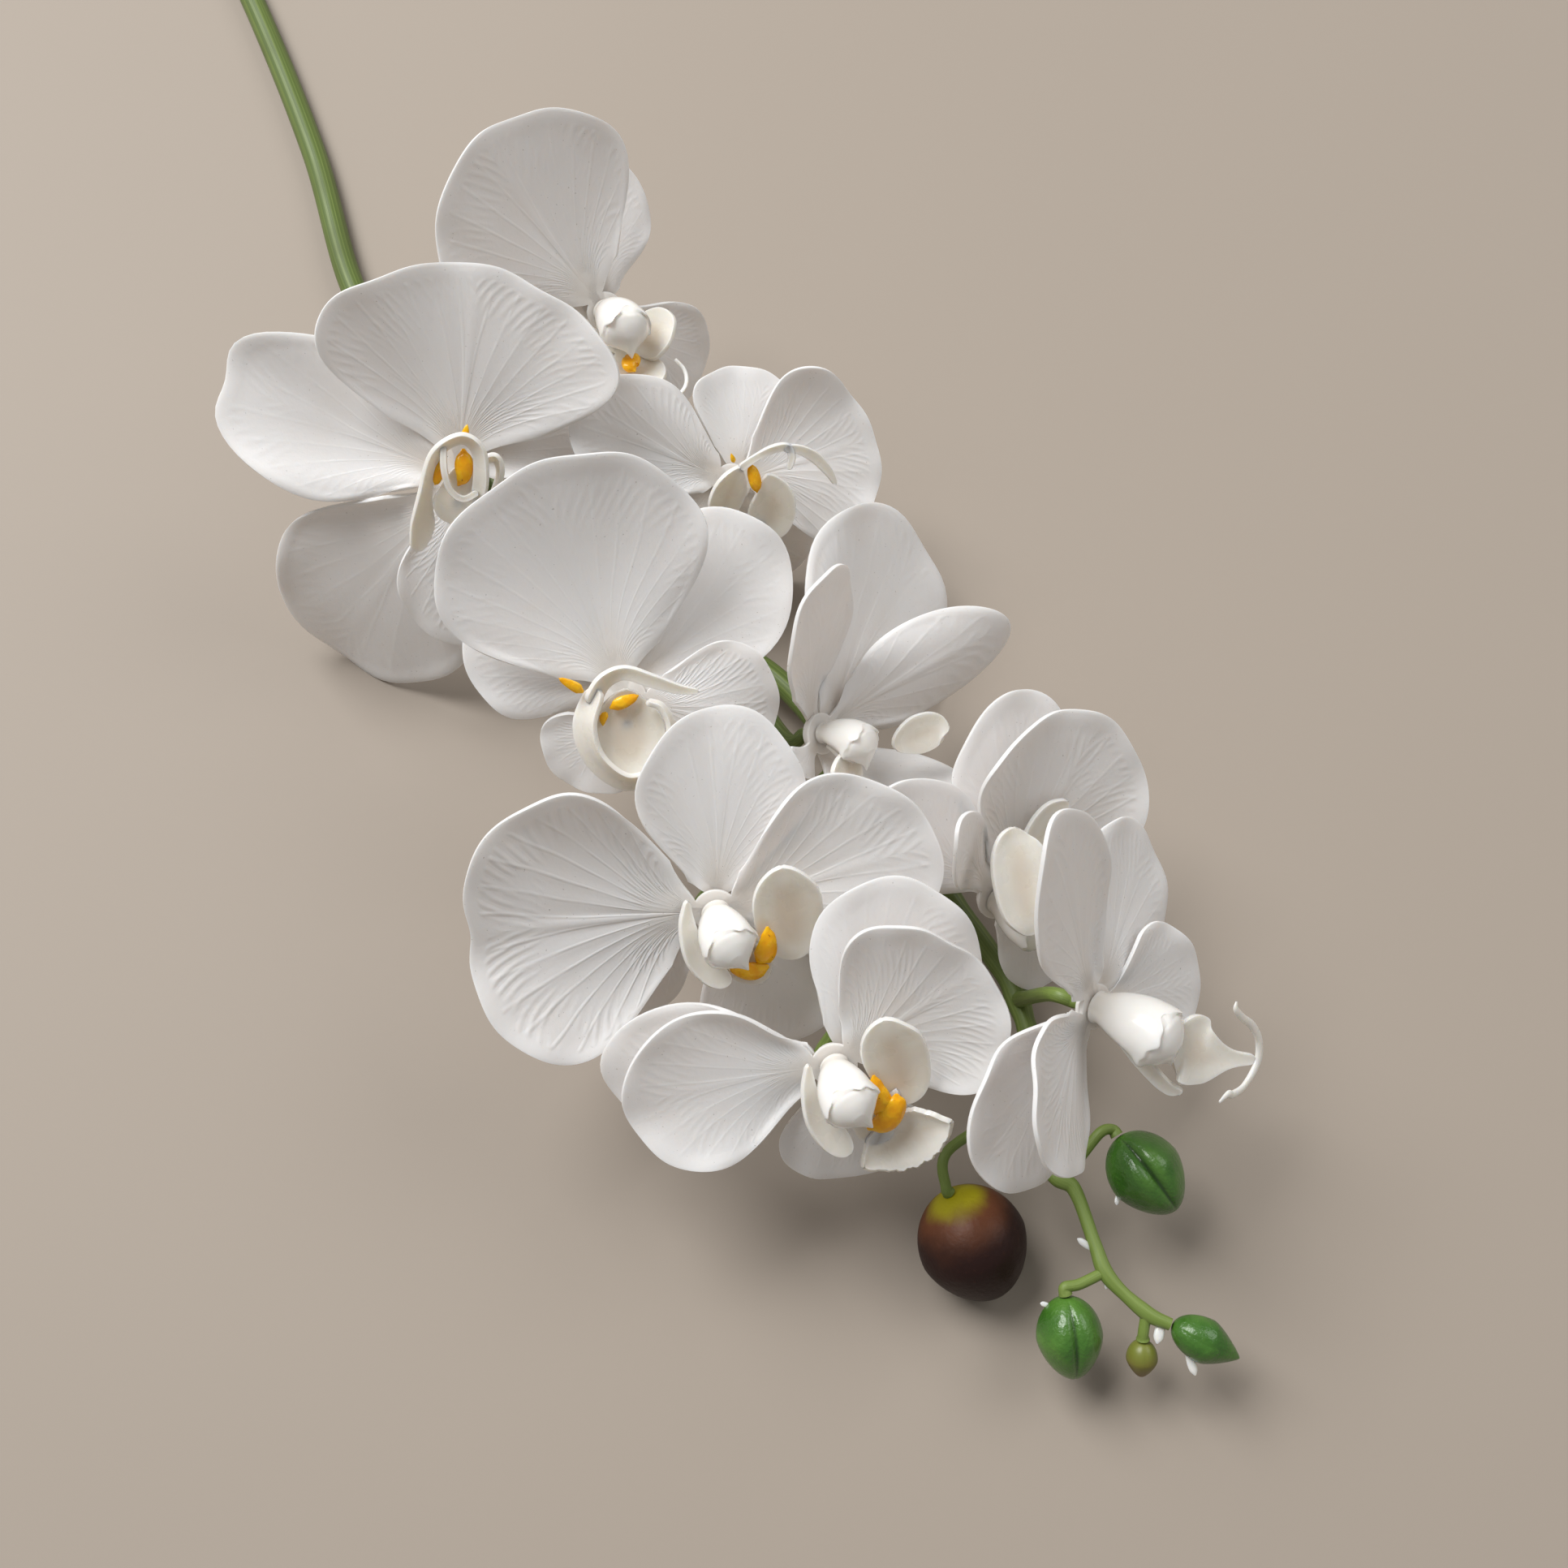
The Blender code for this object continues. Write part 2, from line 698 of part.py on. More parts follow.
def empty(name, parent, matrix, collection):
    anchor = bpy.data.objects.new(name, None)
    collection.objects.link(anchor)
    anchor.parent = parent
    anchor.matrix_local = matrix
    return anchor


def build_banded_lip(name, form, looks, anchor, collection):
    """A lip whose parts are curled bands, and its crest, in the bloom's own frame."""
    bands = [
        band(name + "_lip", rows, LIP_THICKNESS, looks["lip"], anchor, collection)
        for rows in form["bands"]
    ]
    stalk = form["stalk"]
    bands.append(tube("claw", stalk, [CLAW_RADIUS] * len(stalk), 6, looks["lip"], anchor, collection))
    lip = fuse(bands[0], bands[1:], own_walls=True)
    lip.name = name + "_lip"
    crest = form["crest"]
    tube(
        name + "_callus", [row[:3] for row in crest], [row[3] for row in crest], 6,
        looks["callus"], anchor, collection,
    )


def build_centre(name, form, looks, anchor, collection):
    """A bloom's column, lip and callus."""
    size = form["size"]
    turn = Matrix.Rotation(math.radians(form["lip"]), 4, "Z")
    middle = empty(name + "_middle", anchor, turn, collection)
    height = size * form.get("stub", 1.0)
    foot = COLUMN_PATH[0][2]
    column = [(height * x, height * y, foot + height * (z - foot)) for x, y, z in COLUMN_PATH]
    tube(
        name + "_column", column, [height * r for r in COLUMN_RADII], 8,
        looks["column"], middle, collection,
    )
    if "bands" in form:
        build_banded_lip(name, form, looks, anchor, collection)
        return
    place = Matrix.Translation(Vector(LIP_PLACE) * size * MM)
    place = place @ Matrix.Rotation(math.radians(-LIP_RISE), 4, "Y")
    cradle = empty(name + "_cradle", middle, place, collection)
    hub = LIP_HUB * size
    lobes = lip_lobes(form)
    lip = sheet(
        name + "_lip", lobes, hub, LIP_GRID, LIP_THICKNESS, looks["lip"], cradle, collection
    )
    foot = place.inverted() @ (Vector((CLAW_FOOT[0] * size, 0.0, CLAW_FOOT[2])) * MM)
    claw = [tuple(foot / MM), (0.0, 0.0, 0.0), (1.2, 0.0, 0.1)]
    joined = [tube("claw", claw, [CLAW_RADIUS] * 3, 6, looks["lip"], cradle, collection)]
    if form.get("cirri", True):
        for side in (-1, 1):
            path = cirrus_path(lobes[1], size, side)
            radii = [CIRRUS_RADIUS * (1.0 - CIRRUS_TAPER * k) for k in range(len(path))]
            joined.append(tube("cirrus", path, radii, 6, looks["lip"], cradle, collection))
    fuse(lip, joined, own_walls=True)
    callus = [tuple(size * v for v in point) for point in CALLUS_PATH]
    tube(
        name + "_callus", callus, [size * r for r in CALLUS_RADII], 6,
        looks["callus"], cradle, collection,
    )


def build_bloom(number, form, looks, spray, collection):
    name = f"bloom_{number}"
    anchor = empty(name, spray, facing_matrix(form["centre"], *form["facing"]), collection)
    sheet(
        name + "_petals", form["petals"], PETAL_HUB, PETAL_GRID, SHEET_THICKNESS,
        looks["petal"], anchor, collection,
    )
    sepals = sheet(
        name + "_sepals", form["sepals"], SEPAL_HUB, SEPAL_GRID, SHEET_THICKNESS,
        looks["petal"], anchor, collection,
    )
    sepals.location.z = -SHEET_PITCH * MM
    build_centre(name, form, looks, anchor, collection)


def pedicel_path(number):
    """From the main stem to 0.35 mm behind a bloom's sepals, square to them at the end."""
    form = BLOOMS[number]
    frame = facing_matrix(form["centre"], *form["facing"])
    behind = -(SHEET_PITCH + SHEET_THICKNESS / 2.0 + GAP)
    ends = [tuple(frame @ (Vector((0, 0, behind - back)) * MM) / MM) for back in PEDICEL_RUN_IN]
    return smooth_path([PEDICEL_ROOTS[number]] + ends, 2)


def level_underside(body, place, reach, spray):
    """Cuts away what lies below the table, within a square round the place."""
    bpy.ops.mesh.primitive_cube_add(size=MM)
    below = bpy.context.active_object
    below.parent = spray
    below.scale = (reach, reach, FLAT_DEPTH)
    below.location = Vector((place[0], place[1], -FLAT_DEPTH / 2.0)) * MM
    fuse(body, [below], "DIFFERENCE")


def build_stem(looks, spray, collection):
    """The main stem with every pedicel on it, and a flat along the underside of its bare end."""
    path = smooth_path([(*place, radius) for place, radius in STEM], 2)
    stem = tube(
        "stem", [p[:3] for p in path], [p[3] for p in path], 8, looks["green"], spray, collection
    )
    others = []
    for number in BLOOMS:
        way = pedicel_path(number)
        radii = [PEDICEL_RADIUS] * len(way)
        others.append(tube("pedicel", way, radii, 6, looks["green"], spray, collection))
    for bud in BUDS.values():
        if not bud["path"]:
            continue
        axis = Vector(bud["axis"]).normalized()
        foot = Vector(bud["centre"]) - axis * (bud["length"] / 2.0 + GAP)
        way = smooth_path(bud["path"] + [tuple(foot - axis * BUD_RUN_IN), tuple(foot)], 2)
        radii = [BUD_NECK] * len(way)
        others.append(tube("pedicel", way, radii, 6, looks["green"], spray, collection))
    fuse(stem, others)
    level_underside(stem, STEM[1][0], FLAT_REACH, spray)
    return stem


def build_bud(name, bud, looks, spray, collection):
    """A closed bud: a sphere stretched along its axis, blunt at its base."""
    mesh = bpy.data.meshes.new(name)
    shape = bmesh.new()
    bmesh.ops.create_uvsphere(shape, u_segments=10, v_segments=7, radius=0.5)
    for vertex in shape.verts:
        x, y, z = vertex.co
        narrow = 1.0 - BUD_TAPER * max(z, 0.0)
        vertex.co = (
            x * bud["width"] * narrow * MM,
            y * bud["width"] * narrow * MM,
            z * bud["length"] * MM,
        )
    bmesh.ops.triangulate(shape, faces=shape.faces)
    shape.to_mesh(mesh)
    shape.free()
    mesh.shade_smooth()
    obj = add_object(name, mesh, looks[bud["look"]], spray, collection)
    axis = Vector(bud["axis"]).normalized()
    turn = axis.to_track_quat("Z", "Y").to_matrix().to_4x4()
    obj.matrix_local = Matrix.Translation(Vector(bud["centre"]) * MM) @ turn
    if bud.get("flat"):
        level_underside(obj, bud["centre"], bud["width"] * 2.0, spray)
    return obj


def main():
    for old in list(bpy.data.objects):
        bpy.data.objects.remove(old)
    collection = bpy.data.collections.new("moth_orchid")
    bpy.context.scene.collection.children.link(collection)
    looks = {
        "petal": material("petal_white", (0.86, 0.85, 0.83), 0.55),
        "column": material("column_white", (0.90, 0.88, 0.84), 0.25),
        "lip": material("lip_cream", (0.85, 0.80, 0.70), 0.35),
        "callus": material("callus_yellow", (0.85, 0.42, 0.02), 0.35),
        "green": material("stem_green", (0.16, 0.28, 0.06), 0.5),
        "bud": material("bud_green", (0.07, 0.25, 0.03), 0.35),
        "brown": material("bud_brown", (0.06, 0.02, 0.01), 0.4),
        "olive": material("bud_olive", (0.22, 0.25, 0.05), 0.4),
    }
    spray = bpy.data.objects.new("spray", None)
    collection.objects.link(spray)
    spray.rotation_euler.z = math.radians(SPRAY_TURN)
    turned = Matrix.Rotation(math.radians(SPRAY_TURN), 3, "Z") @ Vector((*SPRAY_CENTRE, 0.0))
    spray.location = -turned * MM
    for number, form in BLOOMS.items():
        build_bloom(number, form, looks, spray, collection)
    build_stem(looks, spray, collection)
    for name, bud in BUDS.items():
        build_bud(name, bud, looks, spray, collection)
    bpy.context.view_layer.update()


main()
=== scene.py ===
"""Looks for a spray of white moth orchid that lies on a table.

Sizes are in millimetres and degrees, as in the part's own source, and meshes are in metres.
Places are given in the table's frame and turned into the part's frame by SPRAY.
"""
import math

import bmesh
import bpy
import numpy as np
from mathutils import Matrix, Vector


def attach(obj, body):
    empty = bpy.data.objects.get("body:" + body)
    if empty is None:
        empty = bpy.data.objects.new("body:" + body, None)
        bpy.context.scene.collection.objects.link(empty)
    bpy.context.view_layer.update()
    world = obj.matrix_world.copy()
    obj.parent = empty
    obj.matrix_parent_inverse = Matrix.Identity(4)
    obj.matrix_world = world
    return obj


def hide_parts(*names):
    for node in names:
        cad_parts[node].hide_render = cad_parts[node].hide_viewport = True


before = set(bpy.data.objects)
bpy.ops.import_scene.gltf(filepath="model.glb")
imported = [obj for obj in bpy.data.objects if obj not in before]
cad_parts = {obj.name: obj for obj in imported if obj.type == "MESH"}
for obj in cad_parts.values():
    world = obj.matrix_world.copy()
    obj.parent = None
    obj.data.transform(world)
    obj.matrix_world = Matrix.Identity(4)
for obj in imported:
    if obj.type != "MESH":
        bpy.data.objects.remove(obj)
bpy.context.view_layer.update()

bl_info = {
    "name": "Moth orchid spray",
    "version": (1, 0, 0),
    "blender": (4, 5, 0),
    "location": "3D View > Sidebar > Orchid",
    "description": "Builds the petals, lips, stem, buds and stage of a moth orchid spray",
    "category": "Add Mesh",
}

MM = 0.001
BODY = "root"

# How the spray is turned against the table's frame, and the place there that is the part's origin
SPRAY_TURN = 57.0
SPRAY_CENTRE = (-85.6, 255.3)

# Radii of the round hubs that lobes fan out from
PETAL_HUB = 4.5
SEPAL_HUB = 4.0
LIP_HUB = 2.2

# A bloom's two sheets: how far the back one lies behind the front one, and how thick each is
SHEET_PITCH = 1.3
SHEET_THICKNESS = 0.8

# Clearance between a stalk and the bloom or bud that it carries
GAP = 0.35

# How far from the hub a lobe takes up its tilt, and the share of its length that its claw takes up
SETTLE = 5.0
CLAW_REACH = 0.28

# Half width in degrees of the notch in a lobe's tip
NOTCH_ANGLE = 7.0

# Distances behind its sepals of a pedicel's last points, which lie square to them
RUN_IN = (9.0, 3.0, 0.0)

# Relief of a lobe that is 45 mm long. Each wave has a height, a power that says how it grows
# towards the margin, and a count. A lobe's clock angle shifts them, so that lobes differ.
RELIEF_LENGTH = 45.0
WAVES = ((1.0, 3, 4.0), (0.5, 5, 9.0), (0.22, 6, 19.0))
WAVE_SHIFT = 7.3
FOLD_HEIGHT = 0.7
FOLD_COUNT = 3.2

# The midrib: height, depth of the trough round it as a share, half widths in degrees of ridge and
# trough, and a power below 1 that makes it rise early
MIDRIB_HEIGHT = 0.3
MIDRIB_TROUGH = 0.8
MIDRIB_WIDTHS = (2.6, 6.5)
MIDRIB_RISE = 0.8

# Raised veins: height, degrees between them at the hub and degrees that they lean outwards, the
# distance from the margin where they end and over which they fade, the share of the lobe over
# which they rise from the hub, and how they vary across it: least share, change and pace
VEIN_HEIGHT = 0.06
VEIN_SPACING = 8.0
VEIN_LEAN = 6.0
VEIN_END = (2.4, 2.0)
VEIN_START = 0.25
VEIN_CHANGE = (0.6, 0.4, 0.17)

# The rolled rim: height, the distances from the margin between which it fades, and the share of the
# lobe over which it rises from the hub
RIM_HEIGHT = 0.14
RIM_FADE = (1.5, 5.0)
RIM_START = 0.3

# Unevenness of a lobe's margin, as shares of its reach, with a count each
MARGIN_WAVES = ((0.012, 7.0), (0.007, 15.0))
MARGIN_SHIFT = 5.1

# The sepals show the same relief more weakly than the petals
SEPAL_RELIEF = 0.5

# Spacing of a sheet's rings, steps of a lobe's midline and degrees between points on a hub's rim
RING_SPACING = 0.85
SPINE_STEPS = 96
RIM_STEP = 12.0

# Rings along a lobe and rays across it
PETAL_GRID = (44, 100)
SEPAL_GRID = (38, 64)
LIP_GRID = (26, 44)

# Degrees across a lobe to one unit of its form map
MAP_DEGREES = 90.0

# Steps to each stretch of a band and cells across it, how far across the form map it reaches, how
# much its edges are lifted as a share of its half width, how round its ends stay at least, and the
# two waves of a ragged edge: strength, pace along the band and shift
BAND_GRID = (10, 8)
BAND_SHARE = 0.4
BAND_ARCH = 0.12
BAND_END = 0.01
RAGGED = ((1.0, 2.1, 0.0), (0.7, 5.3, 1.0))

# Angles in degrees from which an edge is shown sharp, and is rounded by this much
SHARP_SHEET = 48.0
SHARP_FORM = 60.0
ROUND_ANGLE = 55.0
ROUND_WIDTH = 0.16

# A path counts as upright where the sine of its lean is below this
UPRIGHT = 0.2

# Steps to each stretch of a path and sides of the tube along it. The column has steps for its path
# and for its cross-sections.
STEM_TUBE = (14, 28)
PEDICEL_TUBE = (8, 16)
BUD_STALK_TUBE = (6, 16)
LIP_STALK_TUBE = (6, 16)
CLAW_TUBE = (4, 16)
CIRRUS_TUBE = (5, 12)
RIBBON_TUBE = (6, 14)
STRAND_TUBE = (8, 32)
NUB_TUBE = (5, 12)
COLUMN_STEPS = (9, 7)
COLUMN_SIDES = 72
BUD_SIDES = 108
BUD_RINGS = 48


def lobe(angle, length, width, **shape):
    """A petal, sepal or lip lobe: clock angle in its sheet, size, and how it bends, in degrees."""
    settings = {
        "tilt": 0.0,
        "bend": 0.0,
        "cup": (0.0, 0.0),
        "roll": 0.0,
        "notch": 0.0,
        "fan": 74.0,
        "base": 30.0,
        "claw": 0.5,
        "folds": 1.0,
        "relief": 1.0,
    }
    settings.update(shape)
    settings.update(angle=angle, length=length, width=width)
    return settings


# Blooms from the cut end to the tip. A bloom has its centre and the azimuth and rise of its facing
# in the table's frame, its lip's clock angle and the size of its middle. Where they differ from the
# usual, it has the reach of its lip's middle lobe, the reach and width of its side lobes, whether
# ribbons show, and the share of its column that is built. A band's rows are places in the bloom's
# frame with the half width and how far the left edge is raised. A crest's are places and radii.
BLOOMS = {
    1: {
        "centre": (-42, 250, 45),
        "facing": (-55, 42),
        "lip": -60,
        "size": 1.2,
        "sepals": [
            lobe(110, 34, 25, tilt=-14, claw=0.65),
            lobe(190, 34, 27, tilt=-15, claw=0.65),
            lobe(-16, 31, 27, tilt=-12),
        ],
        "petals": [
            lobe(150, 46, 49, tilt=6, bend=4, cup=(10, 10)),
            lobe(-66, 28, 28, tilt=-4, bend=-8),
        ],
    },
    2: {
        "centre": (-72, 201, 50),
        "facing": (-75, 52),
        "lip": -95,
        "size": 1.2,
        "stub": 0.28,
        "bands": [
            [
                (-7.5, -17, 3.5, 1.4, 15),
                (-6.4, -11, 5, 2.6, 20),
                (-6.2, -4, 7.5, 1.6, 35),
                (-4.6, 4.5, 9.5, 1.4, 45),
                (0.5, 8.6, 10.5, 1.4, 45),
                (4.4, 6.5, 10, 1.6, 35),
                (5.4, 0.5, 9, 1.7, 25),
                (4.8, -5, 7, 1.6, 15),
            ],
            [
                (-3, 6.6, 10, 0.7, 0),
                (-2.4, 1.5, 10.5, 0.7, 0),
                (-0.8, -2.6, 10, 0.7, 0),
                (2, -4.2, 9.5, 0.7, 0),
                (5, -2.5, 8.6, 0.7, 0),
            ],
            [
                (4.8, 4, 8.4, 0.8, 40),
                (8, 5.2, 7.5, 1.2, 50),
                (9.4, 2.2, 6.5, 1.1, 60),
                (8.2, -3, 5, 0.8, 60),
            ],
            [
                (-0.5, -10, 5.4, 3.4, 0),
                (0, -6.5, 6.2, 4.6, 0),
                (1.5, -1, 6.4, 3.6, 0),
                (2.5, 3.5, 6.6, 1.8, 0),
            ],
        ],
        "stalk": [(0.4, -2.6, 1.3), (0.8, -4.4, 3.2), (0.6, -6, 6.2)],
        "crest": [
            [(1.2, 6.4, 8.4, 0.7), (1.6, 3.4, 8.7, 1.5), (1.6, 0.6, 8.4, 1.3), (0.6, -1.6, 8, 0.5)],
            [(-2.9, 4.4, 8.2, 0.4), (-3.2, 2, 8.4, 0.9), (-3.9, -0.9, 8, 0.7), (-4.3, -2, 7.8, 0.2)],
            [(1.2, 8.8, 9, 0.7), (1.5, 10.4, 9.2, 0.5), (1.7, 11.6, 9.2, 0.15)],
        ],
        "sepals": [
            lobe(164, 54, 33, tilt=-10, cup=(20, 20), notch=0.06),
            lobe(241, 62, 46, tilt=-15, bend=-34, claw=0.6, fan=62),
            lobe(46, 34, 30, tilt=-15),
        ],
        "petals": [
            lobe(88, 43, 60, tilt=6, bend=8, cup=(20, 20)),
            lobe(280, 38, 28, tilt=-6, bend=-5),
        ],
    },
    3: {
        "centre": (-32.5, 144.5, 54),
        "facing": (-78, 58),
        "lip": -55,
        "size": 1.2,
        "stub": 0.22,
        "bands": [
            [
                (-5.6, 2.6, 7, 2.2, 40),
                (-7.6, -5, 7, 3.0, 45),
                (-5, -12, 6.5, 2.8, 45),
                (1.5, -16, 6.5, 2.4, 45),
                (8, -12.5, 7, 1.8, 50),
                (9.4, -5, 8, 1.2, 55),
                (7.4, -0.6, 8.5, 0.9, 55),
                (4.2, 0.6, 8.8, 0.7, 55),
            ],
            [
                (-7, -1, 6.6, 2.0, 35),
                (-4.6, 3.8, 7.4, 1.8, 35),
                (-0.5, 6, 8.5, 1.5, 25),
                (5, 4.7, 8.6, 1.4, 15),
                (10.5, 3.3, 8, 1.0, 10),
                (14.5, 3, 7.4, 0.5, 0),
            ],
            [
                (0, 2.5, 5.6, 3, 0),
                (0.5, -3, 5.2, 7, 0),
                (1, -9, 5.2, 7.4, 0),
                (2, -15.5, 5.8, 3.4, 0),
            ],
        ],
        "stalk": [(0.3, -2.6, 1.3), (0.6, -4, 3), (0.8, -5, 5.2)],
        "crest": [
            [(-3, -1.4, 7.2, 0.5), (-1, -0.2, 7.4, 1.0), (1.2, 0.8, 7.4, 0.8), (2.6, 1.6, 7.4, 0.3)],
            [
                (-8.4, 1.6, 7.4, 0.6),
                (-10.2, 2.6, 7.8, 0.8),
                (-12.4, 3.7, 8.2, 0.5),
                (-13.4, 4.2, 8.4, 0.1),
            ],
            [(-3.6, -2.2, 7, 0.5), (-4.2, -3.6, 7, 0.6), (-4.2, -5, 6.8, 0.2)],
        ],
        "sepals": [
            lobe(155, 34, 27, tilt=-8, claw=0.6, fan=64),
            lobe(53, 45, 31, tilt=-8),
            lobe(240, 21, 19, tilt=-14, claw=0.6, fan=60),
        ],
        "petals": [
            lobe(114, 49, 53, tilt=6, bend=12, cup=(22, 18), relief=0.6),
            lobe(-10, 31, 31, tilt=-4, bend=-6),
        ],
    },
    4: {
        "centre": (-12, 207, 38),
        "facing": (-60, 50),
        "lip": -55,
        "size": 1.1,
        "stub": 0.28,
        "bands": [
            [
                (-2, -8.5, 2.8, 2.6, 0),
                (-2.3, -4, 5.4, 4.0, 10),
                (-2, 0, 7.5, 3.6, 15),
                (-1.5, 3.8, 9, 1.0, 15),
            ],
            [
                (8.6, -11, 2.6, 3.2, 0),
                (9.3, -6, 4.6, 5.2, -10),
                (8.2, -1, 6.6, 4.8, -15),
                (5.4, 3.6, 8, 1.4, -15),
            ],
            [(-3, -6.6, 4, 1.3, 0), (3, -7.4, 3.2, 1.5, 0), (9, -7.6, 4, 1.3, 0)],
            [
                (-1.6, 3.2, 8.9, 0.9, 0),
                (1.4, 6.4, 9.4, 0.8, 0),
                (4.8, 9.2, 10, 0.9, 20),
                (7.8, 10.2, 10.5, 0.9, 20),
                (9.3, 8.4, 10.5, 0.8, 20),
                (9.4, 5.6, 10, 0.6, 20),
            ],
            [
                (7, 9.8, 10.5, 0.8, 10),
                (10.4, 10.4, 10.5, 1.0, 10),
                (14.7, 9.6, 10, 1.2, 10),
                (18.9, 7.3, 9.5, 1.0, 10),
                (21.5, 5, 9, 0.5, 10),
            ],
        ],
        "stalk": [(0.3, -2.6, 1.4), (0.8, -4.6, 2.2), (1.6, -7, 3.2)],
        "crest": [
            [(0.6, 5, 8.4, 0.5), (2, 2.9, 8.4, 1.1), (3.2, 0.6, 8.2, 1.1), (3.9, -0.9, 8, 0.4)],
            [(-3, 4.4, 8.6, 0.4), (-3.7, 5.3, 8.8, 0.4), (-4.3, 6.2, 9, 0.1)],
        ],
        "sepals": [
            lobe(80, 26, 28, tilt=-12),
            lobe(205, 26, 24, tilt=-15),
            lobe(-50, 39, 30, tilt=-17, bend=-53),
        ],
        "petals": [
            lobe(168, 38, 26, tilt=-3),
            lobe(30, 34, 38, tilt=8, cup=(20, 10)),
        ],
    },
    5: {
        "centre": (8, 145, 36),
        "facing": (-20, 40),
        "lip": -60,
        "size": 1.0,
        "middle": 11,
        "cirri": False,
        "sepals": [
            lobe(64, 63, 48, tilt=-8),
            lobe(130, 39, 24, tilt=34, roll=12, fan=52, base=24),
            lobe(-36, 42, 30, tilt=52, fan=56),
        ],
        "petals": [
            lobe(50, 50, 20, tilt=30, cup=(-30, -30), fan=46, base=24),
            lobe(243, 11, 7, tilt=0, fan=40, base=20),
        ],
    },
    6: {
        "centre": (44.5, 109.5, 31),
        "facing": (-60, 42),
        "lip": -10,
        "size": 1.15,
        "middle": 10,
        "cirri": False,
        "sepals": [
            lobe(156, 36, 22, tilt=-2, claw=0.6, fan=56, base=26),
            lobe(96, 42, 28, tilt=-13, fan=56, base=26),
            lobe(-20, 29, 24, tilt=-4),
        ],
        "petals": [
            lobe(83, 42, 38, tilt=8, cup=(20, 20)),
            lobe(146, 35, 13, tilt=38, roll=22, fan=50, base=24),
        ],
    },
    7: {
        "centre": (-13.5, 101, 48),
        "facing": (-80, 48),
        "lip": -48,
        "size": 1.1,
        "middle": 6,
        "sides": ((9, 9), (17, 14)),
        "cirri": False,
        "sepals": [
            lobe(92, 39, 31, tilt=-6, cup=(15, 5), relief=1.6),
            lobe(210, 34, 30, tilt=-12),
            lobe(-44, 34, 36, tilt=-5),
        ],
        "petals": [
            lobe(186, 48, 53, tilt=0, bend=18, cup=(22, 14), notch=0.05, relief=2.0),
            lobe(22, 44, 38, tilt=-5, bend=10, cup=(10, 15)),
        ],
    },
    8: {
        "centre": (9.7, 71.5, 43),
        "facing": (-85, 50),
        "lip": -45,
        "size": 1.12,
        "middle": 14,
        "sides": ((13, 10), (16, 13)),
        "sepals": [
            lobe(62, 38, 32, tilt=-8),
            lobe(187, 44, 26, tilt=-7),
            lobe(-75, 28, 26, tilt=-15),
        ],
        "petals": [
            lobe(188, 40, 30, tilt=0, bend=26, cup=(24, 12), relief=0.5),
            lobe(41, 34, 38, tilt=5, bend=10, cup=(15, 15)),
        ],
    },
    9: {
        "centre": (60, 82, 47),
        "facing": (-30, 38),
        "lip": -38,
        "size": 1.3,
        "sepals": [
            lobe(69, 40, 30, tilt=-15, fan=56, base=24),
            lobe(20, 33, 26, tilt=5, claw=0.6, fan=50, base=20),
            lobe(246, 39, 30, tilt=0),
        ],
        "petals": [
            lobe(144, 47, 24, tilt=13),
            lobe(240, 35, 30, tilt=24, roll=-5),
        ],
    },
}

